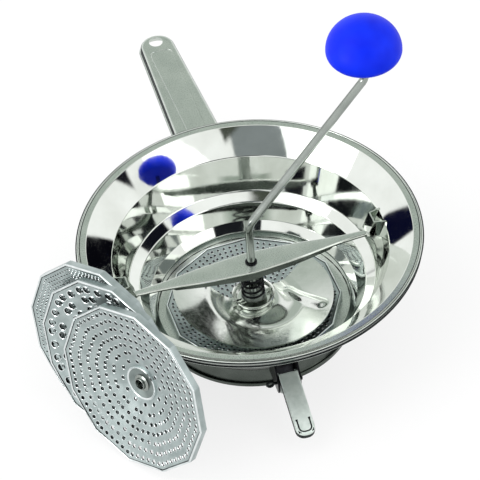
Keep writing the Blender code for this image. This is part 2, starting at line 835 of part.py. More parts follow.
# Spring: closed turns at both ends and open ones between, on a slight cone
def springPoints():
    count = round(spring_turns * curl_points)
    open_turns = spring_turns - 2 * spring_end_turns
    open_pitch = (spring_top - spring_foot - 2 * spring_end_turns * spring_end_pitch) / open_turns
    points = []
    for k in range(count + 1):
        turn = k / curl_points
        foot_turns = min(turn, spring_end_turns)
        top_turns = max(turn - spring_end_turns - open_turns, 0)
        climb = (foot_turns + top_turns) * spring_end_pitch + (turn - foot_turns - top_turns) * open_pitch
        radius = spring_foot_radius + (spring_top_radius - spring_foot_radius) * turn / spring_turns
        angle = math.tau * turn
        points.append(Vector((radius * math.cos(angle), radius * math.sin(angle), spring_foot + climb)))
    return points


def leastSpringGap(points):
    least = None
    for i, a in enumerate(points):
        for b in points[i + curl_points // 2 + 1:]:
            gap = (a - b).length - spring_wire
            least = gap if least is None else min(least, gap)
    return least


def makeSpring(lift):
    points = springPoints()
    curve = bpy.data.curves.new("blade_spring", "CURVE")
    curve.dimensions = "3D"
    curve.bevel_depth = spring_wire / 2
    curve.bevel_resolution = 1
    curve.use_fill_caps = True
    curve.materials.append(dark_steel)
    spline = curve.splines.new("POLY")
    spline.points.add(len(points) - 1)
    for point, place in zip(spline.points, points):
        point.co = (*place, 1)
    spring = bpy.data.objects.new("blade_spring", curve)
    bpy.context.scene.collection.objects.link(spring)
    spring.parent = lift
    print("least gap of the spring to itself:", round(leastSpringGap(points), 5), "m")


def makeWashers(lift):
    bore = rod_diameter / 2 + touch_gap
    outer = spring_foot_radius + spring_wire
    seat = ringBody(bore, outer, spring_seat_height, spring_seat_height + washer_thickness,
                    turned_segments)
    addObject("spring_seat_washer", seat, satin_steel, lift)
    top = ringBody(bore, outer, bridge_washer_height, bridge_washer_height + washer_thickness,
                   turned_segments)
    addObject("bridge_washer", top, satin_steel)


# Knob: a blue dome closed below by a floor with a sleeve, held on the rod by a push-on cap
def domeLine(radius, crown, skirt, flat):
    upper = [math.radians(a) for a in (90, 75, 60, 45, 30, 15, 0)]
    line = [Vector((radius * math.cos(a), crown * math.sin(a))) for a in upper]
    for a in (math.radians(-30), math.radians(-60), math.radians(-90)):
        line.append(Vector((flat + (radius - flat) * math.cos(a), skirt * math.sin(a))))
    return line


def makeKnob(rotor):
    frame = addEmpty("knob_axis", rotor, Matrix.Translation((crank_reach, 0, knob_height)))
    outer = domeLine(knob_radius, knob_crown, knob_skirt, knob_flat_radius)
    floor_radius = knob_flat_radius - knob_wall
    inner = domeLine(knob_radius - knob_wall, knob_crown - knob_wall, knob_skirt - knob_wall, floor_radius)
    mouth = [Vector((floor_radius, -knob_skirt))]
    bm = lathe(outer + mouth + inner[::-1], turned_segments, closed=False)
    addObject("knob", bm, blue_plastic, frame)

    bore = rod_diameter / 2 + running_gap
    sleeve = bore + knob_sleeve_wall
    edge = floor_radius - touch_gap
    outline = [
        (bore, -knob_skirt),
        (edge, -knob_skirt),
        (edge, -knob_skirt + knob_floor),
        (sleeve, -knob_skirt + knob_floor),
        (sleeve, knob_sleeve_top),
        (bore, knob_sleeve_top),
    ]
    addObject("knob_floor", lathe(outline, turned_segments), blue_plastic, frame)

    washer_low = knob_height + knob_sleeve_top + touch_gap
    washer = ringBody(rod_diameter / 2 + touch_gap, sleeve, washer_low, washer_low + washer_thickness,
                      rod_sides)
    over = Matrix.Translation((crank_reach, 0, 0))
    addObject("knob_washer", washer, satin_steel, rotor, over)
    low = washer_low + washer_thickness + touch_gap
    inside = rod_diameter / 2 + touch_gap
    outline = [
        (0, low + push_cap_height),
        (inside + push_cap_wall, low + push_cap_height),
        (inside + push_cap_wall, low),
        (inside, low),
        (inside, low + push_cap_height - push_cap_top + touch_gap),
        (0, low + push_cap_height - push_cap_top + touch_gap),
    ]
    addObject("knob_push_cap", lathe(outline, rod_sides, closed=False), satin_steel, rotor, over)


spare_discs = (
    ("disc_fine", fine_hole, 0),
    ("disc_extra_coarse", ring_hole, spare_middle_step),
    ("disc_coarse", coarse_hole, spare_front_step),
)


# The bounding box of all pieces, cutters left out
def boundsOfAll():
    bpy.context.view_layer.update()
    graph = bpy.context.evaluated_depsgraph_get()
    places = []
    for thing in bpy.data.objects:
        if thing.type == "EMPTY" or thing.hide_render:
            continue
        shape = thing.evaluated_get(graph)
        places += [shape.matrix_world @ v.co for v in shape.to_mesh().vertices]
        shape.to_mesh_clear()
    low = Vector(min(p[axis] for p in places) for axis in range(3))
    high = Vector(max(p[axis] for p in places) for axis in range(3))
    return low, high


def moveOrigin():
    low, high = boundsOfAll()
    shift = Vector((-(low.x + high.x) / 2, -(low.y + high.y) / 2, 0))
    loose = [thing for thing in bpy.data.objects if thing.parent is None]
    origin = addEmpty("origin", matrix=Matrix.Translation(shift))
    for thing in loose:
        thing.parent = origin
    print("the bowl's axis stands at x", round(shift.x, 6), "y", round(shift.y, 6))


makeBowl()
bowl_outside = makeOutsideCutter()
bowl_inside = makeInsideCutter()
makeSeatRing()
makeHandle(bowl_outside)
makeSupport(bowl_outside)
makeBridge()
makeSocket("bridge_socket_right", bridge_azimuth, bowl_inside)
makeSocket("bridge_socket_left", bridge_azimuth + math.pi, bowl_inside)
disc_seat = addEmpty("disc_seat", matrix=Matrix.Translation((0, 0, disc_rim_height)))
makeDisc("disc_medium", medium_hole, disc_seat)
makeSpareDiscs()

rotor_axis = addEmpty("rotor_axis", matrix=Matrix.Rotation(crank_azimuth, 4, "Z"))
blade_axis = addEmpty("blade_axis")
lift_axis = addEmpty("lift_axis")
makeCrankRod(rotor_axis)
makeClip(rotor_axis)
makeKnob(rotor_axis)
makeBlade(blade_axis)
makeCup(rotor_axis)
makeDrivePin(rotor_axis)
makeSpring(lift_axis)
makeWashers(lift_axis)
moveOrigin()
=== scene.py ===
import math

import bmesh
import bpy
from mathutils import Matrix, Vector
from mathutils.kdtree import KDTree


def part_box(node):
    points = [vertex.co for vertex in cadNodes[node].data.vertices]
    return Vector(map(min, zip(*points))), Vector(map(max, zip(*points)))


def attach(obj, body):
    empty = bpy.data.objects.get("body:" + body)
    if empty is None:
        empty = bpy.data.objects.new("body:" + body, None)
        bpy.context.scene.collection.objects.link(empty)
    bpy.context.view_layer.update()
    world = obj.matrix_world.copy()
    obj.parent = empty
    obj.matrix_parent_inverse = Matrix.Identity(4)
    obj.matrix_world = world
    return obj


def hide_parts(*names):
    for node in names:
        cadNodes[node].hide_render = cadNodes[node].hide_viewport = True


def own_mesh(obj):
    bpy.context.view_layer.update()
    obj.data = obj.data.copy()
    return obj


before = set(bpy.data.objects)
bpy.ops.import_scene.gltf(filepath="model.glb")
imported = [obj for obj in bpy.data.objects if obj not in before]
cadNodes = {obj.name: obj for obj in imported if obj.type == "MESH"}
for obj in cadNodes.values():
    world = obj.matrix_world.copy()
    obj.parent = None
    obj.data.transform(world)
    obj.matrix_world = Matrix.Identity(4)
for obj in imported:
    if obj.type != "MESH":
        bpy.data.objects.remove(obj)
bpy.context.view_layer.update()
print("frame loaded")

# Everything is modelled in millimetres round the bowl's axis, and brought to metres and to that
# axis when a piece is finished
mm = 0.001
weldGap = 0.001  # vertices nearer than this, in mm, are one
seatLow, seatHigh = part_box("disc_seat_ring")
axisPlace = Matrix.Translation(((seatLow.x + seatHigh.x) / 2, (seatLow.y + seatHigh.y) / 2, 0))


# Shape tools

def turn(degrees, axis="Z"):
    return Matrix.Rotation(math.radians(degrees), 4, axis)


def shift(x, y, z):
    return Matrix.Translation((x, y, z))


def polar(radius, angle, centre=(0, 0)):
    return Vector((centre[0] + radius * math.cos(angle), centre[1] + radius * math.sin(angle)))


def arc(centre, radius, start, end, steps):
    angles = [math.radians(start + (end - start) * k / steps) for k in range(steps + 1)]
    return [polar(radius, angle, centre) for angle in angles]


def circle(centre, radius, steps):
    return arc(centre, radius, 0, 360 - 360 / steps, steps - 1)


def mirrored(points):
    return [Vector((p.x, -p.y)) for p in points]


def radiusOf(point):
    return math.hypot(point.x, point.y)


# A corner's third value is the radius that rounds it
def roundCorners(points, steps=6):
    corners = [Vector(p[:2]) for p in points]
    outline = []
    for i, p in enumerate(points):
        radius = p[2] if len(p) > 2 else 0
        if not radius or i in (0, len(points) - 1):
            outline.append(corners[i])
            continue
        back = (corners[i - 1] - corners[i]).normalized()
        ahead = (corners[i + 1] - corners[i]).normalized()
        halfTurn = (math.pi - back.angle(ahead)) / 2
        reach = radius * math.tan(halfTurn)
        centre = corners[i] + (back + ahead).normalized() * radius / math.cos(halfTurn)
        start = corners[i] + back * reach - centre
        side = 1 if start.cross(ahead) > 0 else -1
        for k in range(steps + 1):
            outline.append(centre + Matrix.Rotation(side * 2 * halfTurn * k / steps, 2) @ start)
    return outline


# The line moved to its left, with mitred corners
def beside(line, distance):
    moved = []
    for i, p in enumerate(line):
        sides = []
        if i:
            run = (p - line[i - 1]).normalized()
            sides.append(Vector((-run.y, run.x)))
        if i < len(line) - 1:
            run = (line[i + 1] - p).normalized()
            sides.append(Vector((-run.y, run.x)))
        side = sum(sides, Vector((0, 0)))
        moved.append(p + side * len(sides) / max(side.length_squared, 1) * distance)
    return moved


def turned(outline, steps, closed=True, bm=None):
    bm = bm or bmesh.new()
    ring = [bm.verts.new((x, 0, z)) for x, z in outline]
    pairs = list(zip(ring, ring[1:]))
    if closed:
        pairs.append((ring[-1], ring[0]))
    edges = [bm.edges.new(pair) for pair in pairs]
    bmesh.ops.spin(bm, geom=ring + edges, cent=(0, 0, 0), axis=(0, 0, 1), angle=math.tau,
                   steps=steps, use_merge=True)
    bmesh.ops.remove_doubles(bm, verts=bm.verts, dist=weldGap)
    return bm


def ringEdges(bm, points, height):
    verts = [bm.verts.new((x, y, height)) for x, y in points]
    return [bm.edges.new(pair) for pair in zip(verts, verts[1:] + verts[:1])]


# One ring for each inset and height of a profile
def profileRings(bm, outlineOf, profile, top):
    return [ringEdges(bm, outlineOf(inset), top + height) for inset, height in profile]


def stacked(bm, rings):
    for lower, upper in zip(rings, rings[1:]):
        bmesh.ops.bridge_loops(bm, edges=lower + upper)


def filled(bm, *rings):
    edges = [edge for ring in rings for edge in ring]
    bmesh.ops.triangle_fill(bm, edges=edges, use_beauty=True, use_dissolve=False)


def placed(name, data):
    thing = bpy.data.objects.new(name, data)
    bpy.context.scene.collection.objects.link(thing)
    return thing


def tube(path, radius, sides):
    curve = bpy.data.curves.new("path", "CURVE")
    curve.dimensions = "3D"
    curve.bevel_depth = radius
    curve.bevel_resolution = sides // 2 - 2
    curve.use_fill_caps = True
    spline = curve.splines.new("POLY")
    spline.points.add(len(path) - 1)
    for point, place in zip(spline.points, path):
        point.co = (*place, 1)
    guide = placed("path", curve)
    bm = bmesh.new()
    bm.from_mesh(guide.evaluated_get(bpy.context.evaluated_depsgraph_get()).to_mesh())
    bpy.data.objects.remove(guide, do_unlink=True)
    bmesh.ops.remove_doubles(bm, verts=bm.verts, dist=weldGap)
    return bm


def joined(*parts):
    whole = bmesh.new()
    for part in parts:
        mesh = bpy.data.meshes.new("part")
        part.to_mesh(mesh)
        part.free()
        whole.from_mesh(mesh)
        bpy.data.meshes.remove(mesh)
    return whole


# pick names the look of a face, where a piece has several
def finishPiece(name, bm, body, nodes, looks, place=None, crease=25, pick=None):
    bmesh.ops.recalc_face_normals(bm, faces=bm.faces)
    if pick:
        for face in bm.faces:
            face.material_index = looks.index(pick(face))
    toFrame = axisPlace @ Matrix.Scale(mm, 4) @ (place or Matrix())
    bmesh.ops.transform(bm, matrix=toFrame, verts=bm.verts)
    mesh = bpy.data.meshes.new(name)
    bm.to_mesh(mesh)
    bm.free()
    for look in looks:
        mesh.materials.append(look)
    mesh.shade_smooth()
    mesh.set_sharp_from_angle(angle=math.radians(crease))
    piece = placed(name, mesh)
    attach(piece, body)
    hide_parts(*nodes)
    return piece


# Material tools

def colourOf(hexText):
    values = [int(hexText[i:i + 2], 16) / 255 for i in (1, 3, 5)]
    return [v / 12.92 if v <= 0.04045 else ((v + 0.055) / 1.055) ** 2.4 for v in values] + [1]


# Adds a node: settings are its own properties, links its inputs, as values or as other sockets
def addNode(tree, kind, settings=None, links=None):
    node = tree.nodes.new("ShaderNode" + kind)
    for name, value in (settings or {}).items():
        setattr(node, name, value)
    for name, value in (links or {}).items():
        if isinstance(value, bpy.types.NodeSocket):
            tree.links.new(value, node.inputs[name])
        else:
            node.inputs[name].default_value = value
    return node


def startMaterial(name):
    made = bpy.data.materials.new(name)
    made.use_nodes = True
    made.node_tree.nodes.clear()
    return made, made.node_tree


def mathOf(tree, operation, *values):
    return addNode(tree, "Math", {"operation": operation}, dict(enumerate(values))).outputs[0]


def vectorMathOf(tree, operation, *values):
    node = addNode(tree, "VectorMath", {"operation": operation}, dict(enumerate(values)))
    return node.outputs["Value"]


# A Mix node has sockets for each kind of data, so those for colours go by number
mixColours = {"first": 6, "second": 7, "result": 2}


def mixOf(tree, factor, first, second):
    mixed = addNode(tree, "Mix", {"data_type": "RGBA"}, {
        "Factor": factor, mixColours["first"]: first, mixColours["second"]: second})
    return mixed.outputs[mixColours["result"]]


# Noise on the piece's own coordinates, one period every so many millimetres
def noiseOf(tree, periodMm, detail=2, stretch=(1, 1, 1)):
    place = addNode(tree, "TexCoord").outputs["Object"]
    mapped = addNode(tree, "Mapping", None, {"Vector": place, "Scale": stretch})
    return addNode(tree, "TexNoise", None, {
        "Vector": mapped.outputs["Vector"], "Scale": 1 / (periodMm * mm), "Detail": detail,
    }).outputs["Fac"]


# The noise of a texture keeps mostly within the default range
def rangeOf(tree, value, low, high, fromLow=0.35, fromHigh=0.65):
    return addNode(tree, "MapRange", None, {
        "Value": value, "From Min": fromLow, "From Max": fromHigh, "To Min": low, "To Max": high,
    }).outputs["Result"]


# Colour drifts between two tones and roughness between two values, with a faint grain. What isn't
# named is as on bare metal.
def surfaceMaterial(name, spec):
    made, tree = startMaterial(name)
    drift = noiseOf(tree, spec["driftMm"], spec.get("driftDetail", 3))
    tone = mixOf(tree, rangeOf(tree, drift, 0, 1), colourOf(spec["dark"]), colourOf(spec["light"]))
    grain = noiseOf(tree, spec["grainMm"], 2, spec.get("stretch", (1, 1, 1)))
    bump = addNode(tree, "Bump", None, {
        "Height": grain, "Strength": spec["bump"], "Distance": spec["bumpMm"] * mm})
    shader = addNode(tree, "BsdfPrincipled", None, {
        "Base Color": tone, "Metallic": spec.get("metal", 1),
        "Roughness": rangeOf(tree, grain, spec["smooth"], spec["rough"]),
        "Specular IOR Level": spec.get("gloss", 0.5), "Normal": bump.outputs["Normal"]})
    if "ior" in spec:
        shader.inputs["IOR"].default_value = spec["ior"]
    addNode(tree, "OutputMaterial", None, {"Surface": shader.outputs["BSDF"]})
    return made


# Polished stainless steel, buffed after spinning: sharp reflections, a faint green-grey cast
polishedSteel = surfaceMaterial("polishedStainless", {
    "dark": "#D2D6D0", "light": "#DEE2DD", "driftMm": 40, "grainMm": 14, "smooth": 0.03,
    "rough": 0.07, "bump": 0.05, "bumpMm": 0.4})

# The bowl's under side, spun and left unbuffed: softer, and darker as painted shade. The bridge's
# flange gets it as painted shade too
spunAndShadeSteel = surfaceMaterial("spunStainlessAndPaintedShade", {
    "dark": "#4A504B", "light": "#5E645F", "driftMm": 25, "grainMm": 2.5, "smooth": 0.22,
    "rough": 0.34, "bump": 0.1, "bumpMm": 0.1, "stretch": (1, 1, 6)})

# Cold rolled stainless with a satin face, for what was pressed from strip
satinSteel = surfaceMaterial("satinStainless", {
    "dark": "#C0C7C1", "light": "#CBD1CB", "driftMm": 18, "grainMm": 0.9, "smooth": 0.26,
    "rough": 0.32, "bump": 0.06, "bumpMm": 0.05})

# Punched and tumbled stainless sheet, a little bluer
punchedSteel = surfaceMaterial("punchedStainless", {
    "dark": "#97A2A1", "light": "#AAB5B4", "driftMm": 12, "grainMm": 1.2, "smooth": 0.3,
    "rough": 0.4, "bump": 0.08, "bumpMm": 0.05})

# The disc's hub, left as it was drawn: greyer and duller than the punched sides
hubSteel = surfaceMaterial("drawnHubSteel", {
    "dark": "#747E7C", "light": "#87918E", "driftMm": 9, "grainMm": 0.9, "smooth": 0.3,
    "rough": 0.4, "bump": 0.06, "bumpMm": 0.05})

# Bright drawn bar, ground but not buffed: greyer than the bowl
barSteel = surfaceMaterial("brightDrawnBar", {
    "dark": "#8D938E", "light": "#9CA29D", "driftMm": 20, "grainMm": 1.0, "smooth": 0.12,
    "rough": 0.2, "bump": 0.05, "bumpMm": 0.05, "stretch": (1, 1, 0.2)})

# Dark steel, painted shade in creases, seams, grooves, under sides and on pressed walls; on the support
# pin it is the pin's own dark colour
filmAndShadeSteel = surfaceMaterial("annealedFilmAndPaintedShade", {
    "dark": "#14191B", "light": "#2A302F", "driftMm": 10, "grainMm": 1.2, "smooth": 0.45,
    "rough": 0.6, "bump": 0.06, "bumpMm": 0.05, "metal": 0.2, "gloss": 0.2})

# The support arm is blasted matt, so it looks pale grey whichever way it faces
blastedSteel = surfaceMaterial("blastedStainless", {
    "dark": "#D0DCD5", "light": "#E6F0EA", "driftMm": 9, "grainMm": 0.8, "smooth": 0.36,
    "rough": 0.46, "bump": 0.1, "bumpMm": 0.05, "metal": 0.25})

# The burr that the punch draws round each hole, rubbed bright, and lighter still as a painted
# highlight. The discs' rim tops and the hub plates' rim rings get it as painted highlight too
burrAndHighlightSteel = surfaceMaterial("burnishedBurrAndPaintedHighlight", {
    "dark": "#D2D9D9", "light": "#E4E9E9", "driftMm": 8, "grainMm": 1.2, "smooth": 0.1,
    "rough": 0.2, "bump": 0.05, "bumpMm": 0.05})

# The torn wall inside a punched hole: rough, and dark as painted shade so that the holes look black.
# The fold round the funnel gets it as painted shade too
shearedAndShadeSteel = surfaceMaterial("shearedHoleWallAndPaintedShade", {
    "dark": "#2E3232", "light": "#3E4343", "driftMm": 8, "grainMm": 0.6, "smooth": 0.4,
    "rough": 0.6, "bump": 0.3, "bumpMm": 0.05})

# The cup under the spring: pressed and only brushed over
cupSteel = surfaceMaterial("brushedStainless", {
    "dark": "#D2D6D0", "light": "#DEE2DD", "driftMm": 20, "grainMm": 1.5, "smooth": 0.12,
    "rough": 0.2, "bump": 0.05, "bumpMm": 0.05})

# The blade, buffed more lightly than the bowl, so that what it mirrors is soft
bladeSteel = surfaceMaterial("buffedBlade", {
    "dark": "#CDD2CC", "light": "#DADED9", "driftMm": 25, "grainMm": 3, "smooth": 0.09,
    "rough": 0.15, "bump": 0.05, "bumpMm": 0.05})

# Spring steel, oil blackened
blackSteel = surfaceMaterial("blackenedSpringSteel", {
    "dark": "#17181A", "light": "#2C2D30", "driftMm": 6, "grainMm": 1.5, "smooth": 0.25,
    "rough": 0.4, "bump": 0.15, "bumpMm": 0.05})

# Moulded polypropylene: even colour, and the mould's fine texture softens its gloss. That texture
# is drawn a little coarser than it is.
bluePlastic = surfaceMaterial("mouldedPolypropylene", {
    "dark": "#0022DE", "light": "#0630F2", "driftMm": 30, "driftDetail": 2, "grainMm": 0.7,
    "smooth": 0.42, "rough": 0.5, "bump": 0.15, "bumpMm": 0.05, "metal": 0, "gloss": 0.14,
    "ior": 1.49})
print("materials made")

# Bowl. Its rim is rolled nearly square: a flat lip, a crease, a rounded edge, a seam and a skirt.
# The rim's corners say how far in from the edge, how far down, and the radius that rounds them.
bowl = {
    "rimRadius": 155, "rimHeight": 99.8, "lipDrop": 0.6, "lipRadius": 145.5, "lipEnd": 145.8,
    "rim": ((7, 4.6), (6.6, 7, 1.4), (0, 7.5, 0.9), (0.2, 2.5, 0.2), (1, 2.4), (1, 1.5),
            (0.7, 0, 1.2), (3.4, 0.1, 0.8), (3.7, 1), (4.1, 1), (4.3, 0.6)),
    "rimWidth": 8, "rimDepth": 7.6,
    "flareFoot": (123.9, 80.4), "wallFoot": (111, 49), "step": (101.8, 43.3),
    "basin": (94, 27.5), "collar": (87.2, 19.5), "hem": (3, 3.2),
    "sheet": 1.1, "fillet": 3, "steps": 240,
}
# The rim's bands: from and to inward, from and to downward, and the look. The first that fits counts.
# The dark film in the crease, in the seam and on the roll's under side is painted shade, and the
# skirt's darker bar steel is painted shade too
rimBands = (
    (3.5, 4.2, 0.75, 7.6, filmAndShadeSteel),  # the crease inside the edge
    (0.25, 1.1, 1.4, 2.55, filmAndShadeSteel),  # the seam under the edge
    (-1, 8, 7, 7.6, filmAndShadeSteel), (1.5, 8, 3, 7.6, filmAndShadeSteel),  # the roll's under side
    (-1, 3.2, -1, 1.5, polishedSteel),  # the rounded edge
    (-1, 8, 2, 7.6, barSteel),  # the skirt
)


def bowlLine():
    edge, top = bowl["rimRadius"], bowl["rimHeight"]
    collar, fillet = bowl["collar"][0], bowl["fillet"]
    hemWidth, hemHeight = bowl["hem"]
    rim = roundCorners([(edge - inward, top - down, *radius) for inward, down, *radius in bowl["rim"]])
    inner = roundCorners([
        rim[-1],
        (bowl["lipRadius"], top - bowl["lipDrop"], fillet / 2),
        (*bowl["flareFoot"], fillet),
        (*bowl["wallFoot"], fillet),
        (*bowl["step"], fillet),
        (*bowl["basin"], fillet),
        (*bowl["collar"], fillet),
        (collar, 0),
    ])
    return rim[:-1] + inner + [Vector((collar + hemWidth, 0)), Vector((collar + hemWidth, hemHeight))]


def bowlFinishAndShade(face):
    centre = face.calc_center_median()
    radius = radiusOf(centre)
    inward, down = bowl["rimRadius"] - radius, bowl["rimHeight"] - centre.z
    if inward < bowl["rimWidth"] and down < bowl["rimDepth"]:
        for near, far, high, low, look in rimBands:
            if near < inward < far and high < down < low:
                return look
        return satinSteel
    if radius > bowl["lipEnd"]:
        return satinSteel
    # Faces that look outward or down get the dark spun steel, painted shade
    outward = (face.normal.x * centre.x + face.normal.y * centre.y) / radius
    return spunAndShadeSteel if outward > 0 or face.normal.z < -0.05 else polishedSteel


def makeBowl():
    line = bowlLine()
    bm = turned(line + beside(line, bowl["sheet"])[::-1], bowl["steps"])
    finishPiece("bowlShell", bm, "bowl", ["bowl"],
                [polishedSteel, satinSteel, spunAndShadeSteel, filmAndShadeSteel, barSteel], crease=30, pick=bowlFinishAndShade)


makeBowl()
print("bowl made")

# Discs. The fold round the funnel goes out from its edge, then up; the hub is dished and has a
# rolled rim.
disc = {
    "radius": 80, "sides": 12, "skirt": 7.8, "depth": 14.5, "sheet": 1, "rimWidth": 2.6,
    "creaseDrop": 0.9, "fold": ((0, 0), (0.35, -0.1), (0.7, 0.3)), "foldWidth": 1, "foldDark": 0.6,
    "hub": 16.5, "hubGap": 0.2, "hubRimRise": 2.2, "hubRimWidth": 1.1, "hubRimFoot": 1.8,
    "dishRise": 1.6, "dishFloor": 0.3,
    "bore": 4, "bushWall": 1.4, "bushFlange": 2.5, "gap": 0.3, "bushRise": 3.5, "flangeHeight": 0.9,
    "edgeMargin": 1.8, "ridgeMargin": 0.5, "hubMargin": 3, "weld": 0.01,
}
# Each disc's holes: width, distance along a row and between rows, and the raised lip's width and
# rise, all in mm, with the corners that round a hole
punches = {
    "disc_fine": {"hole": 1.5, "pitch": 3.9, "row": 3.6, "lip": 0.4, "rise": 0.35, "corners": 8},
    "disc_medium": {"hole": 2.5, "pitch": 4.9, "row": 4.4, "lip": 0.35, "rise": 0.15, "corners": 8},
    "disc_coarse": {"hole": 3.7, "pitch": 6.3, "row": 8.4, "lip": 0.5, "rise": 0.3, "corners": 14},
    "disc_extra_coarse": {
        "hole": 6.6, "pitch": 10.8, "row": 10.4, "lip": 1.1, "rise": 0.8, "corners": 20},
}
lipCrest, lipInside = 0.55, 0.6  # the crest's share of the lip's width, the inner edge's of its rise
discLooks = [punchedSteel, burrAndHighlightSteel, shearedAndShadeSteel, hubSteel]
flatShare = math.cos(math.pi / disc["sides"])
creaseRadius = disc["radius"] - disc["rimWidth"]
facetInner = disc["hub"] * flatShare
facetRun = creaseRadius * flatShare - facetInner
facetRise = disc["depth"] - disc["creaseDrop"]
facetSlope = math.atan2(facetRise, facetRun)
facetLength = math.hypot(facetRun, facetRise)
sheetDrop = disc["sheet"] / math.cos(facetSlope)


def halfWidth(along):
    return (facetInner + along * math.cos(facetSlope)) * math.tan(math.pi / disc["sides"])


# Rows parallel to the rim. Each fills its side's width, so a row runs on across the creases.
def holePlaces(punch):
    places = []
    reach = punch["hole"] / 2 + punch["lip"]
    along = facetLength - disc["edgeMargin"] - reach
    while along > disc["hubMargin"] + reach:
        room = halfWidth(along) - disc["ridgeMargin"] - reach
        count = int(2 * room / punch["pitch"]) + 1 if room > 0 else 0
        for k in range(count):
            places.append((along, room * (2 * k / (count - 1) - 1) if count > 1 else 0))
        along -= punch["row"]
    return places


# One side of the funnel: a flat sheet whose punched holes have a raised lip
def makeFacet(punch):
    bm = bmesh.new()
    places = holePlaces(punch)
    tree = KDTree(len(places))
    for i, place in enumerate(places):
        tree.insert((*place, 0), i)
    tree.balance()
    corners = [(0, -halfWidth(0)), (facetLength, -halfWidth(facetLength)),
               (facetLength, halfWidth(facetLength)), (0, halfWidth(0))]
    outline = ringEdges(bm, corners, 0)
    radius = punch["hole"] / 2
    for place in places:
        bmesh.ops.create_circle(bm, cap_ends=False, segments=punch["corners"],
                                radius=radius + punch["lip"], matrix=shift(*place, 0))
    border = set(outline)
    rims = [e for e in bm.edges if e not in border]
    filled(bm, outline, rims)
    steps = [(radius + punch["lip"] * lipCrest, punch["rise"]), (radius, punch["rise"] * lipInside),
             (radius, -disc["sheet"])]
    for reach, height in steps:
        grown = bmesh.ops.extrude_edge_only(bm, edges=rims)["geom"]
        verts = set(g for g in grown if isinstance(g, bmesh.types.BMVert))
        # The hole's wall is painted dark as shade, and its lip light as a highlight
        look = shearedAndShadeSteel if height < 0 else burrAndHighlightSteel
        for face in (g for g in grown if isinstance(g, bmesh.types.BMFace)):
            face.material_index = discLooks.index(look)
        rims = [g for g in grown if isinstance(g, bmesh.types.BMEdge) and set(g.verts) <= verts]
        for v in verts:
            centre = Vector(tree.find((v.co.x, v.co.y, 0))[0])
            flat = Vector((v.co.x, v.co.y, 0)) - centre
            v.co = centre + flat.normalized() * reach + Vector((0, 0, height))
    filled(bm, ringEdges(bm, corners, -disc["sheet"]), rims)

    # The flat side goes to its slope. What lies under the sheet drops straight, so that the
    # sides meet under the creases.
    slope = Vector((math.cos(facetSlope), 0, math.sin(facetSlope)))
    normal = Vector((-slope.z, 0, slope.x))
    start = Vector((facetInner, 0, -disc["depth"]))
    for v in bm.verts:
        along, across, height = v.co
        down = height < -disc["sheet"] / 2
        v.co = start + slope * along + Vector((0, across, 0)) + normal * (0 if down else height)
        if down:
            v.co.z -= sheetDrop
    bmesh.ops.rotate(bm, verts=bm.verts, matrix=turn(180 / disc["sides"]).to_3x3())
    return bm


# The fold round the funnel is painted dark as shade, and the rim's top light as a highlight
def rimFinishAndPaintedLight(face):
    centre = face.calc_center_median()
    inFold = radiusOf(centre) < (creaseRadius + disc["foldDark"]) * flatShare
    if inFold and centre.z > -disc["sheet"]:
        return shearedAndShadeSteel
    return burrAndHighlightSteel if centre.z > -disc["sheet"] else punchedSteel


# The twelve-sided rim and the plate round the hub, both joined to the sides
def addRim(bm, bore):
    top, sheet, skirt = -disc["creaseDrop"], disc["sheet"], disc["skirt"]
    edge, bend = disc["radius"], creaseRadius + disc["foldWidth"]
    inside = edge - sheet
    funnel = set(bm.faces)
    fold = [(creaseRadius + out, top + up) for out, up in disc["fold"]]
    turned(roundCorners(fold + [
        (bend, 0, 0.5), (edge, 0, 1), (edge, -skirt, 0.4), (inside, -skirt, 0.4),
        (inside, -sheet, 0.5), (bend, -sheet, 0.4), (creaseRadius, top - sheetDrop)], 4),
        disc["sides"], closed=False, bm=bm)
    for face in set(bm.faces) - funnel:
        face.material_index = discLooks.index(rimFinishAndPaintedLight(face))
    hub, boreCorner, floor = disc["hub"], bore / flatShare, -disc["depth"]
    turned([(hub, floor), (boreCorner, floor), (boreCorner, floor - sheetDrop),
            (hub, floor - sheetDrop)], disc["sides"], closed=False, bm=bm)
    bmesh.ops.remove_doubles(bm, verts=bm.verts, dist=disc["weld"])


def hubPlate(inner):
    outer, floor = disc["hub"] - disc["hubGap"], -disc["depth"]
    top, foot = floor + disc["hubRimRise"], outer - disc["hubRimFoot"]
    plate = turned(roundCorners([
        (inner, floor), (outer, floor), (outer, top, 0.4), (outer - disc["hubRimWidth"], top, 0.5),
        (foot, floor + disc["dishRise"], 0.4), (inner, floor + disc["dishFloor"])], 3), 72)
    # The plate's rim ring is painted light as a highlight
    for face in plate.faces:
        onRim = radiusOf(face.calc_center_median()) > foot - 0.1
        face.material_index = discLooks.index(burrAndHighlightSteel if onRim else hubSteel)
    return plate


def makeDisc(node, body, place):
    sides, bore, gap = disc["sides"], disc["bore"], disc["gap"]
    wall = bore + disc["bushWall"]
    flange = wall + disc["bushFlange"]
    facet = makeFacet(punches[node])
    bmesh.ops.spin(facet, geom=facet.verts[:] + facet.edges[:] + facet.faces[:], cent=(0, 0, 0),
                   axis=(0, 0, 1), angle=math.tau * (sides - 1) / sides, steps=sides - 1,
                   use_duplicate=True)
    addRim(facet, wall + gap)
    finishPiece(node + "Sheet", joined(facet, hubPlate(flange + gap)), body, [node],
                discLooks, place)

    low = -disc["depth"] - disc["sheet"] - gap
    high = -disc["depth"] + gap
    lift, rise = disc["flangeHeight"], disc["bushRise"]
    bush = roundCorners([
        (bore, low), (bore, low - lift, 0.3), (flange, low - lift, 0.4), (flange, low, 0.3),
        (wall, low), (wall, high), (flange, high, 0.3), (flange, high + lift, 0.4),
        (wall, high + lift, 0.6), (wall, high + rise, 0.6), (bore, high + rise, 0.6), (bore, low)], 4)
    finishPiece(node + "Collar", turned(bush[:-1], 48), body, [node + "_bush"],
                [barSteel], place)


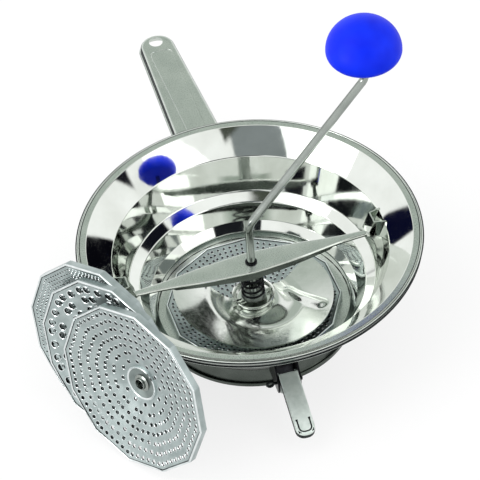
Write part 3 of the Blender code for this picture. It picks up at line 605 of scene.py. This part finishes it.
spares = {"azimuth": -134, "lean": 9, "faceDepth": 0.05}


# A disc's place, read from the face of its rim
def placeOf(node):
    azimuth, lean = math.radians(spares["azimuth"]), math.radians(spares["lean"])
    out = Vector((math.cos(azimuth), math.sin(azimuth), 0))
    along = Vector((-out.y, out.x, 0))
    face = out * math.cos(lean) + Vector((0, 0, math.sin(lean)))
    points = [axisPlace.inverted() @ v.co / mm for v in cadNodes[node].data.vertices]
    top = max(p.dot(face) for p in points) - spares["faceDepth"]
    ring = {tuple(round(c, 2) for c in p) for p in points if p.dot(face) > top}
    centre = sum((Vector(p) for p in ring), Vector()) / len(ring)
    axes = Matrix((along, face.cross(along), face)).transposed().to_4x4()
    return Matrix.Translation(centre) @ axes


makeDisc("disc_medium", "bowl", shift(0, 0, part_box("disc_medium")[1].z / mm))
makeDisc("disc_fine", "spare_back", placeOf("disc_fine"))
makeDisc("disc_extra_coarse", "spare_middle", placeOf("disc_extra_coarse"))
makeDisc("disc_coarse", "spare_front", placeOf("disc_coarse"))
print("discs made")

# Handle, along its own X. A profile's points say how far in from the outline, and how far up from
# the top.
handle = {
    "azimuth": 104.7, "top": 90, "depth": 8, "root": 127.8, "rootSlope": 1.113, "rootWidth": 45,
    "rootSteps": 3, "tipWidth": 32.5, "tipSteps": 24, "reach": 303,
    "profile": (
        (3.2, -1.2), (2.2, -1.5), (1.5, -2.2), (1.2, -3.2), (1.2, -6.2), (0.9, -7.1), (0.2, -7.8),
        (-1.1, -8), (-1.6, -7.6), (-1.1, -7.15), (-0.3, -6.9), (0, -6.2), (0, -3), (0.25, -1.7),
        (0.9, -0.7), (1.8, -0.2), (3, 0), (3.5, 0)),
    "filmShadeFrom": 1.1, "filmShadeTo": 7,
    "holeRadius": 6.25, "holeWall": 4.5,
    "holeProfile": ((0.5, 0), (0.1, -0.15), (0, -0.5), (0, -1.2)),  # outward; rolled in a little
    "panelStart": 139, "panelEnd": 279, "panelNear": (17.2, 4), "panelFar": (10.8, 6),
    "panelProfile": ((-0.5, 0), (0, 0), (0.25, -0.4), (0.55, -0.4), (1.1, 0), (1.6, 0)),
}


# The root follows the bowl's wall, which leans
def handleOutline(inset, height):
    tip = handle["tipWidth"] / 2
    side = handle["rootWidth"] / 2 - inset
    wall = handle["root"] + (height + handle["depth"]) * handle["rootSlope"]
    steps = handle["rootSteps"]
    ys = [side * k / steps for k in range(steps, -steps - 1, -1)]
    root = [Vector((math.sqrt(wall ** 2 - y ** 2), y)) for y in ys]
    return arc((handle["reach"] - tip, 0), tip - inset, -90, 90, handle["tipSteps"]) + root


# Its corners have a half width and a radius
def panelOutline(inset):
    start, end = handle["panelStart"] + inset, handle["panelEnd"] - inset
    near, nearRadius = handle["panelNear"]
    far, farRadius = handle["panelFar"]
    side = roundCorners([
        (start, 0), (start, near - inset, nearRadius), (end, far - inset, farRadius), (end, 0)])
    return side + mirrored(side[-2:0:-1])


# The outward walls under the top edge are painted dark as shade
def handleFinishAndShade(face):
    centre = face.calc_center_median()
    atSide = abs(face.normal.y) > abs(face.normal.x)
    outward = face.normal.y * centre.y > 0 if atSide else face.normal.x > 0
    below = handle["top"] - centre.z
    wall = abs(face.normal.z) < 0.75 and handle["filmShadeFrom"] < below < handle["filmShadeTo"]
    return filmAndShadeSteel if wall and outward else satinSteel


def makeHandle():
    top = handle["top"]
    bm = bmesh.new()
    rings = [ringEdges(bm, handleOutline(inset, height), top + height)
             for inset, height in handle["profile"]]
    stacked(bm, rings)
    middle = (handle["reach"] - handle["holeWall"] - handle["holeRadius"], 0)
    hole = profileRings(bm, lambda grown: circle(middle, handle["holeRadius"] + grown, 36),
                        handle["holeProfile"], top)
    stacked(bm, hole)
    panel = profileRings(bm, panelOutline, handle["panelProfile"], top)
    stacked(bm, panel)
    filled(bm, panel[-1])
    filled(bm, rings[-1], hole[0], panel[0])
    filled(bm, rings[0], hole[-1])
    finishPiece("handleChannel", bm, "bowl", ["handle"], [satinSteel, filmAndShadeSteel],
                turn(handle["azimuth"]), crease=20, pick=handleFinishAndShade)


makeHandle()
print("handle made")

# Bridge, along its own X. The stations are places along it and its half width there. In the
# profile, None is the flange's lower edge, which rises towards the ends.
bridge = {
    "azimuth": 14.7, "top": 66.5,
    "stations": ((0, 13.5), (45, 10), (75, 5.4), (90, 3.8), (112.5, 2.7)), "stationStep": 3,
    "easing": 12,  # how often the corners between the stretches are smoothed
    "profile": (
        (2.6, -1.2), (1.9, -1.35), (1.35, -1.9), (1.2, -2.6), (1.2, None), (0, None), (0, -1.6),
        (0.2, -0.8), (0.7, -0.2), (1.5, 0)),
    "depth": 9.5, "flangeEnd": 74, "flangeEndDepth": 4.7, "tipDepth": 2.9, "sheet": 1.2, "hole": 4.05,
    "flangeFrom": 1.9, "edgeFrom": 0.04,
}


def bridgeOutline(inset):
    half = [(x, w - inset) for x, w in bridge["stations"]]
    soft = []
    for (x0, w0), (x1, w1) in zip(half, half[1:]):
        steps = max(int((x1 - x0) / bridge["stationStep"]), 1)
        soft += [(x0 + (x1 - x0) * k / steps, w0 + (w1 - w0) * k / steps) for k in range(steps)]
    soft.append(half[-1])
    widths = [w for _, w in soft]
    for _ in range(bridge["easing"]):
        eased = [(a + 2 * b + c) / 4 for a, b, c in zip(widths, widths[1:], widths[2:])]
        widths = widths[:1] + eased + widths[-1:]
    side = [Vector((x, w)) for (x, _), w in zip(soft, widths)]
    whole = [Vector((-p.x, p.y)) for p in side[:0:-1]] + side
    return mirrored(whole) + whole[::-1]


def bridgeLow(x):
    if abs(x) > bridge["flangeEnd"]:
        return bridge["top"] - bridge["tipDepth"]
    share = abs(x) / bridge["flangeEnd"]
    return bridge["top"] - bridge["depth"] - (bridge["flangeEndDepth"] - bridge["depth"]) * share


# The flange under the top gets the dark spun steel as painted shade
def bridgeFinishAndShade(face):
    below = bridge["top"] - face.calc_center_median().z
    if below > bridge["flangeFrom"]:
        return spunAndShadeSteel
    return polishedSteel if below > bridge["edgeFrom"] and face.normal.z > 0.1 else satinSteel


def makeBridge():
    top = bridge["top"]
    bm = bmesh.new()
    rings = []
    for inset, height in bridge["profile"]:
        edges = ringEdges(bm, bridgeOutline(inset), top + (height or 0))
        if height is None:
            for v in {v for e in edges for v in e.verts}:
                v.co.z = bridgeLow(v.co.x)
        rings.append(edges)
    stacked(bm, rings)
    edge = circle((0, 0), bridge["hole"], 36)
    hole = [ringEdges(bm, edge, top), ringEdges(bm, edge, top - bridge["sheet"])]
    stacked(bm, hole)
    filled(bm, rings[-1], hole[0])
    filled(bm, rings[0], hole[1])
    finishPiece("bridgeChannel", bm, "bowl", ["bridge"],
                [satinSteel, spunAndShadeSteel, polishedSteel], turn(bridge["azimuth"]), crease=35,
                pick=bridgeFinishAndShade)


makeBridge()
print("bridge made")

# Crank, and the open clip on it over the bridge
crank = {
    "azimuth": 22, "radius": 3.75, "foot": 1.2, "bend": 111, "bendRadius": 18, "reach": 118.7,
    "topBend": 234.9, "topRadius": 11,
    "clipMiddle": 67.3, "clipWire": 0.85, "clipFlat": 0.6, "clipFrom": 115, "clipTo": 425,
}
turnCrank = turn(crank["azimuth"])


def makeCrank():
    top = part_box("crank_rod")[1].z / mm
    path = roundCorners([
        (0, crank["foot"]), (0, crank["bend"], crank["bendRadius"]),
        (crank["reach"], crank["topBend"], crank["topRadius"]), (crank["reach"], top)], 24)
    rod = tube([(x, 0, z) for x, z in path], crank["radius"], 32)
    finishPiece("crankRod", rod, "rotor", ["crank_rod"], [barSteel], turnCrank)

    wire, middle = crank["clipWire"], crank["clipMiddle"]
    ring = arc((0, 0), crank["radius"] + wire, crank["clipFrom"], crank["clipTo"], 40)
    clip = tube([(x, y, middle) for x, y in ring], wire, 12)
    bmesh.ops.scale(clip, vec=(1, 1, crank["clipFlat"]), space=shift(0, 0, -middle), verts=clip.verts)
    finishPiece("rodClip", clip, "rotor", ["crank_clip"], [blackSteel])


makeCrank()
print("crank made")

# Knob, turned
knob = {"radius": 33.3, "crown": 30, "skirt": 9, "flat": 23.5, "height": 268.7, "wall": 2.2}


def knobLine(inset):
    radius, crown, skirt = knob["radius"] - inset, knob["crown"] - inset, knob["skirt"] - inset
    flat = knob["flat"] - inset
    upper = [math.radians(90 - a) for a in range(0, 91, 5)]
    lower = [math.radians(-a) for a in range(10, 91, 10)]
    dome = [Vector((radius * math.cos(a), crown * math.sin(a))) for a in upper]
    edge = [Vector((flat + (radius - flat) * math.cos(a), skirt * math.sin(a))) for a in lower]
    return dome + edge


def makeKnob():
    inner = knobLine(knob["wall"])
    mouth = [Vector((inner[-1].x, -knob["skirt"]))]
    bm = turned(knobLine(0) + mouth + inner[::-1], 96, closed=False)
    finishPiece("knobDome", bm, "knob", ["knob"], [bluePlastic],
                turnCrank @ shift(crank["reach"], 0, knob["height"]))


makeKnob()
print("knob made")

# Blade: a wing that winds down to the disc, round a flat plate that carries a cup
blade = {
    "sheet": 1.5, "plateRadius": 19.5, "plateHeight": 19, "plateLap": 0.2, "bore": 4,
    "start": 174, "sweep": 230, "outer": 72.4, "wipeGap": 0.5, "rise": 24, "blend": 25,
    "edgeStart": 44, "edgeSlope": 0.09, "gridAlong": 160, "gridOut": 32,
}
# A stiffening rib pressed into the blade, from beside the cup towards its edge
rib = {"start": (33, 11), "end": (60, -14), "half": 7, "rise": 2.6}
cup = {"radius": 18.5, "height": 6, "lip": 1.2, "lipDrop": 0.6, "bendHeight": 2.5, "floor": 15,
       "floorHeight": 20.8, "sheet": 1.2}
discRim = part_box("disc_medium")[1].z / mm


def bladeHeight(radius, share):
    funnel = discRim - disc["depth"] + (radius - facetInner) / facetRun * facetRise
    turnedUp = blade["edgeSlope"] * max(radius - blade["edgeStart"], 0) * math.sin(math.pi * share)
    wing = funnel + blade["wipeGap"] + blade["rise"] * (1 - share) ** 2 + turnedUp
    blend = min(max((radius - blade["plateRadius"]) / blade["blend"], 0), 1)
    blend = blend * blend * (3 - 2 * blend)
    return blade["plateHeight"] * (1 - blend) + wing * blend


def ribHeight(radius, angle):
    start, run = Vector(rib["start"]), Vector(rib["end"]) - Vector(rib["start"])
    fromStart = polar(radius, angle) - start
    share = min(max(fromStart.dot(run) / run.length_squared, 0), 1)
    away = (fromStart - run * share).length / rib["half"]
    return rib["rise"] * (1 + math.cos(math.pi * away)) / 2 if away < 1 else 0


def makeBlade():
    inner, low, high = blade["plateRadius"], blade["plateHeight"], blade["plateHeight"] + blade["sheet"]
    wing = bmesh.new()
    bmesh.ops.create_grid(wing, x_segments=blade["gridAlong"], y_segments=blade["gridOut"], size=1)
    for v in wing.verts:
        share, reach = (v.co.x + 1) / 2, (v.co.y + 1) / 2
        angle = math.radians(blade["start"] + blade["sweep"] * share)
        radius = inner + (blade["outer"] - inner) * reach
        v.co = (*polar(radius, angle), bladeHeight(radius, share) + ribHeight(radius, angle))
    raised = bmesh.ops.extrude_face_region(wing, geom=wing.faces[:])["geom"]
    bmesh.ops.translate(wing, verts=[g for g in raised if isinstance(g, bmesh.types.BMVert)],
                        vec=(0, 0, blade["sheet"]))
    edge = inner + blade["plateLap"]
    plate = turned([(blade["bore"], low), (edge, low), (edge, high), (blade["bore"], high)], 72)
    finishPiece("wipingBlade", joined(wing, plate), "rotor", ["blade"],
                [bladeSteel], crease=30)

    floor, top = cup["floorHeight"], cup["floorHeight"] + cup["height"]
    line = roundCorners([
        (cup["radius"] + cup["lip"], top), (cup["radius"], top - cup["lipDrop"], 1),
        (cup["radius"], floor + cup["bendHeight"], 3), (cup["floor"], floor, 3),
        (blade["bore"], floor)])
    finishPiece("bladeCup", turned(line + beside(line, -cup["sheet"])[::-1], 96), "rotor",
                ["blade_cup"], [cupSteel])


makeBlade()

# Spring, with closed turns at both ends
spring = {
    "wire": 1.0, "footRadius": 10, "topRadius": 8.6, "endTurns": 1, "endPitch": 2.6, "turns": 6.5,
    "steps": 32, "lift": 3,
}


def makeSpring():
    low, high = (corner.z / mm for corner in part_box("blade_spring"))
    foot, top = low + spring["wire"], high - spring["wire"]
    ends, endPitch, turns = spring["endTurns"], spring["endPitch"], spring["turns"]
    openTurns = turns - 2 * ends
    openPitch = (top - foot - 2 * ends * endPitch) / openTurns
    path = []
    for k in range(round(turns * spring["steps"]) + 1):
        done = k / spring["steps"]
        closedTurns = min(done, ends) + max(done - ends - openTurns, 0)
        height = foot + closedTurns * endPitch + (done - closedTurns) * openPitch
        radius = spring["footRadius"] + (spring["topRadius"] - spring["footRadius"]) * done / turns
        path.append((*polar(radius, math.tau * done), height))
    coil = finishPiece("bladeSpring", tube(path, spring["wire"], 12), "spring_lift", ["blade_spring"],
                       [blackSteel])
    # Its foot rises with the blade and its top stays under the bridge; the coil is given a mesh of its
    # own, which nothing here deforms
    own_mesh(coil)


makeSpring()
print("blade and spring made")

# Support arm: a channel with a rounded tip and two ears. X runs out along it, and its pivot is the
# origin. The groove's numbers are distances from the arm's edge; its open ends lie a little wider.
arm = {
    "azimuth": -78, "pivot": (116, 30), "droop": 16.5, "width": 17.5, "rise": 13, "length": 61,
    "heel": -2, "sheet": 1.3, "tipRadius": 7.5,
    "profile": (
        (2.6, -1.3), (1.8, -1.5), (1.3, -2.3), (1.3, -6.6), (0.9, -7.3), (0.3, -7.5), (0, -7.2),
        (0, -1.9), (0.3, -1), (0.9, -0.3), (1.7, 0)),
    "grooveProfile": ((0, 0), (0.25, -0.4), (0.5, -0.4)),
    "grooveEnd": 45, "grooveStraight": 47.5, "grooveOuter": 2.5, "grooveInner": 3.9,
    "grooveOuterEnd": 1.9, "grooveInnerEnd": 4.2, "grooveTip": 2.3, "grooveFrom": 0.05, "grooveTo": 0.7,
    "filmShadeFrom": 2, "filmShadeTo": 6.6,
    "ear": ((-8, -5.3), (8, -5.3), (14, 5), (14, 8), (-5, 8), (-8, 2.9)), "earGap": 0.05,
    "pinHole": 1.8,
}


def tipArc(inset):
    centre = (arm["length"] - arm["tipRadius"], arm["width"] / 2 - arm["tipRadius"])
    return arc(centre, arm["tipRadius"] - inset, 90, 0, 8)


def armOutline(inset):
    heel, half = arm["heel"] + inset, arm["width"] / 2 - inset
    side = [Vector((heel, half))] + tipArc(inset)
    return [Vector((heel, 0))] + side + mirrored(side[::-1])


# A groove round the tip, which leaves a raised rim outside it
def grooveOutline(inset):
    end, straight, half = arm["grooveEnd"] + inset, arm["grooveStraight"], arm["width"] / 2
    outer = [Vector((end, half - arm["grooveOuterEnd"] - inset)),
             Vector((straight, half - arm["grooveOuter"] - inset))] + tipArc(arm["grooveOuter"] + inset)
    inner = [Vector((end, half - arm["grooveInnerEnd"] + inset)),
             Vector((straight, half - arm["grooveInner"] + inset))] + tipArc(arm["grooveInner"] - inset)
    return outer + mirrored(outer[::-1]) + mirrored(inner) + inner[::-1]


# The groove round the tip and the side walls are painted dark as shade
def armFinishAndShade(face):
    centre = face.calc_center_median()
    below, level = arm["rise"] - centre.z, abs(face.normal.z)
    fromSide, fromTip = arm["width"] / 2 - abs(centre.y), arm["length"] - centre.x
    inRim = fromSide > arm["grooveOuterEnd"] and fromTip > arm["grooveTip"]
    groove = inRim and centre.x > arm["grooveEnd"] and level > 0.3 \
        and arm["grooveFrom"] < below < arm["grooveTo"]
    wall = arm["filmShadeFrom"] < below < arm["filmShadeTo"] and level < 0.5
    return filmAndShadeSteel if groove or wall else blastedSteel


def makeEar(place):
    bm = bmesh.new()
    half, gap = arm["width"] / 2, arm["earGap"]
    faces = []
    for height in (half - arm["sheet"] + gap, half - gap):
        faces.append([ringEdges(bm, arm["ear"], height),
                      ringEdges(bm, circle((0, 0), arm["pinHole"], 24), height)])
        filled(bm, *faces[-1])
    for lower, upper in zip(*faces):
        stacked(bm, [lower, upper])
    bmesh.ops.transform(bm, matrix=place, verts=bm.verts)
    return bm


def makeArm():
    bm = bmesh.new()
    rings = profileRings(bm, armOutline, arm["profile"], arm["rise"])
    stacked(bm, rings)
    groove = profileRings(bm, grooveOutline, arm["grooveProfile"], arm["rise"])
    stacked(bm, groove)
    filled(bm, groove[-1])
    filled(bm, rings[-1], groove[0])
    filled(bm, rings[0])
    upright = turn(90, "X")
    ears = [makeEar(upright), makeEar(Matrix.Scale(-1, 4, (0, 1, 0)) @ upright)]
    out, up = arm["pivot"]
    place = turn(arm["azimuth"]) @ shift(out, 0, up) @ turn(arm["droop"], "Y")
    finishPiece("supportArm", joined(bm, *ears), "support_arm", ["support_arm"],
                [blastedSteel, filmAndShadeSteel], place, pick=armFinishAndShade)


makeArm()
print("support arm made")

# What keeps its solid gets its material here
carried = {
    "disc_seat_ring": satinSteel, "support_bracket": blackSteel, "support_pin": filmAndShadeSteel,
    "bridge_socket_left": polishedSteel, "bridge_socket_right": polishedSteel,
    "bridge_washer": satinSteel, "drive_pin": polishedSteel, "spring_seat_washer": satinSteel,
    "knob_floor": bluePlastic, "knob_washer": satinSteel, "knob_push_cap": satinSteel,
}
for node, look in carried.items():
    materials = cadNodes[node].data.materials
    materials.clear()
    materials.append(look)
print("carried nodes finished")

# Floor: white to the camera and to what reflects it, and it keeps the shadow. Inside the bowl's
# foot it is dark.
floorSpec = {"half": 0.9, "drop": 0.0005, "colour": "#7E7E7E", "glow": 0.79, "footRadius": 0.088,
             "footEdge": 0.001}


def makeFloor():
    made, tree = startMaterial("whiteStudioFloor")
    rays = addNode(tree, "LightPath").outputs
    seen = mathOf(tree, "MAXIMUM", rays["Is Camera Ray"], rays["Is Glossy Ray"])
    seen = mathOf(tree, "MAXIMUM", seen, rays["Is Transmission Ray"])
    place = addNode(tree, "TexCoord").outputs["Object"]
    reach = vectorMathOf(tree, "DISTANCE", place, axisPlace.translation)
    foot = floorSpec["footRadius"]
    glow = mathOf(tree, "MULTIPLY", seen, rangeOf(
        tree, reach, 0, floorSpec["glow"], foot - floorSpec["footEdge"], foot))
    white = addNode(tree, "Emission", None, {"Color": colourOf("#FFFFFF"), "Strength": glow})
    matt = addNode(tree, "BsdfDiffuse", None, {"Color": colourOf(floorSpec["colour"])})
    both = addNode(tree, "AddShader", None, {0: white.outputs[0], 1: matt.outputs[0]})
    addNode(tree, "OutputMaterial", None, {"Surface": both.outputs[0]})
    bm = bmesh.new()
    bmesh.ops.create_grid(bm, x_segments=1, y_segments=1, size=floorSpec["half"])
    mesh = bpy.data.meshes.new("floor")
    bm.to_mesh(mesh)
    bm.free()
    mesh.materials.append(made)
    floor = placed("floor", mesh)
    floor.location.z = -floorSpec["drop"]


makeFloor()

# The studio, as polished metal shows it: a white tent, a grey ceiling behind the object, and flags
# that are black or grey. Half widths and heights are sines of the angles.
studio = {
    "tone": "#FFFFFF", "strength": 1.2, "softEdge": 0.02,
    "ceiling": "#B4BCB5", "ceilingAt": (90, 50), "ceilingStart": 0.88, "ceilingFull": 0.95,
}
flags = [
    {"azimuth": 46, "elevation": 6, "halfWide": 0.20, "halfHigh": 0.15, "tone": "#08080E"},
    {"azimuth": 139, "elevation": 10, "halfWide": 0.14, "halfHigh": 0.12, "tone": "#0A0C26"},
    {"azimuth": 13, "elevation": 43, "halfWide": 0.16, "halfHigh": 0.11, "tone": "#10111A"},
    {"azimuth": 282, "elevation": 37, "halfWide": 0.35, "halfHigh": 0.17, "tone": "#1A1C20"},
    {"azimuth": 253, "elevation": 55, "halfWide": 0.24, "halfHigh": 0.13, "tone": "#868C8E"},
    {"azimuth": 248, "elevation": 66, "halfWide": 0.33, "halfHigh": 0.07, "tone": "#4A4E46"},
]


def makeStudio():
    world = bpy.data.worlds.new("studio")
    world.use_nodes = True
    tree = world.node_tree
    tree.nodes.clear()
    look = addNode(tree, "TexCoord").outputs["Generated"]

    def along(axis):
        return vectorMathOf(tree, "DOT_PRODUCT", look, axis)

    def within(value, half):
        size = mathOf(tree, "ABSOLUTE", value)
        return rangeOf(tree, size, 1, 0, half, half + studio["softEdge"])

    def towards(azimuth, elevation):
        azimuth, elevation = math.radians(azimuth), math.radians(elevation)
        level = polar(math.cos(elevation), azimuth)
        return Vector((*level, math.sin(elevation)))

    ceiling = rangeOf(tree, along(towards(*studio["ceilingAt"])), 0, 1,
                      studio["ceilingStart"], studio["ceilingFull"])
    tone = mixOf(tree, ceiling, colourOf(studio["tone"]), colourOf(studio["ceiling"]))
    for flag in flags:
        ahead = towards(flag["azimuth"], flag["elevation"])
        right = Vector((-ahead.y, ahead.x, 0)).normalized()
        wide = within(along(right), flag["halfWide"])
        high = within(along(right.cross(ahead)), flag["halfHigh"])
        mask = mathOf(tree, "MULTIPLY", wide, high)
        # The same angles behind are left out
        mask = mathOf(tree, "MULTIPLY", mask, rangeOf(tree, along(ahead), 0, 1, 0, 0.1))
        tone = mixOf(tree, mask, tone, colourOf(flag["tone"]))
    # The camera itself sees plain white behind the object
    seen = addNode(tree, "LightPath").outputs["Is Camera Ray"]
    tone = mixOf(tree, seen, tone, colourOf("#FFFFFF"))
    background = addNode(tree, "Background", None, {"Color": tone, "Strength": studio["strength"]})
    addNode(tree, "OutputWorld", None, {"Surface": background.outputs[0]})
    bpy.context.scene.world = world


makeStudio()

# Softboxes: where they hang, how large they are and how bright, all in metres and watts
lamps = [
    {"name": "keyBox", "place": (-1.4, -0.6, 2.2), "size": 1.6, "power": 12},
    {"name": "fillBox", "place": (1.8, -1.2, 1.8), "size": 1.6, "power": 6},
    {"name": "lowBox", "place": (-1.6, -1.0, 0.45), "size": 0.7, "power": 11},
]


def makeLamps():
    for spec in lamps:
        data = bpy.data.lights.new(spec["name"], "AREA")
        data.shape = "SQUARE"
        data.size = spec["size"]
        data.energy = spec["power"]
        lamp = placed(spec["name"], data)
        lamp.location = spec["place"]
        lamp.rotation_euler = Vector(spec["place"]).to_track_quat("Z", "Y").to_euler()


makeLamps()

# Camera: how far the rim's centre lies, how steeply it looks down, and where in the frame the
# rim's centre shows. The focal length is in pixels, the distance in mm.
view = {
    "frame": 480, "focal": 3152.7, "distance": 2795.2, "elevation": 44.377, "roll": 4.356,
    "rimShows": (249.213, 235.234), "sensor": 36, "clipEnd": 100,
}


def makeCamera():
    elevation, roll = math.radians(view["elevation"]), math.radians(view["roll"])
    ahead = Vector((0, math.cos(elevation), -math.sin(elevation)))
    level = Vector((1, 0, 0))
    upright = Vector((0, math.sin(elevation), math.cos(elevation)))
    right = level * math.cos(roll) - upright * math.sin(roll)
    up = level * math.sin(roll) + upright * math.cos(roll)
    half = view["frame"] / 2
    across = (view["rimShows"][0] - half) * view["distance"] / view["focal"]
    over = (half - view["rimShows"][1]) * view["distance"] / view["focal"]
    eye = Vector((0, 0, bowl["rimHeight"])) - right * across - up * over - ahead * view["distance"]
    data = bpy.data.cameras.new("camera")
    data.sensor_width = view["sensor"]
    data.lens = view["focal"] / view["frame"] * view["sensor"]
    data.clip_end = view["clipEnd"]
    camera = placed("camera", data)
    facing = Matrix((right, up, -ahead)).transposed().to_4x4()
    camera.matrix_world = axisPlace @ Matrix.Translation(eye * mm) @ facing
    bpy.context.scene.camera = camera


makeCamera()
bpy.context.scene.view_settings.view_transform = "Standard"
print("stage made")
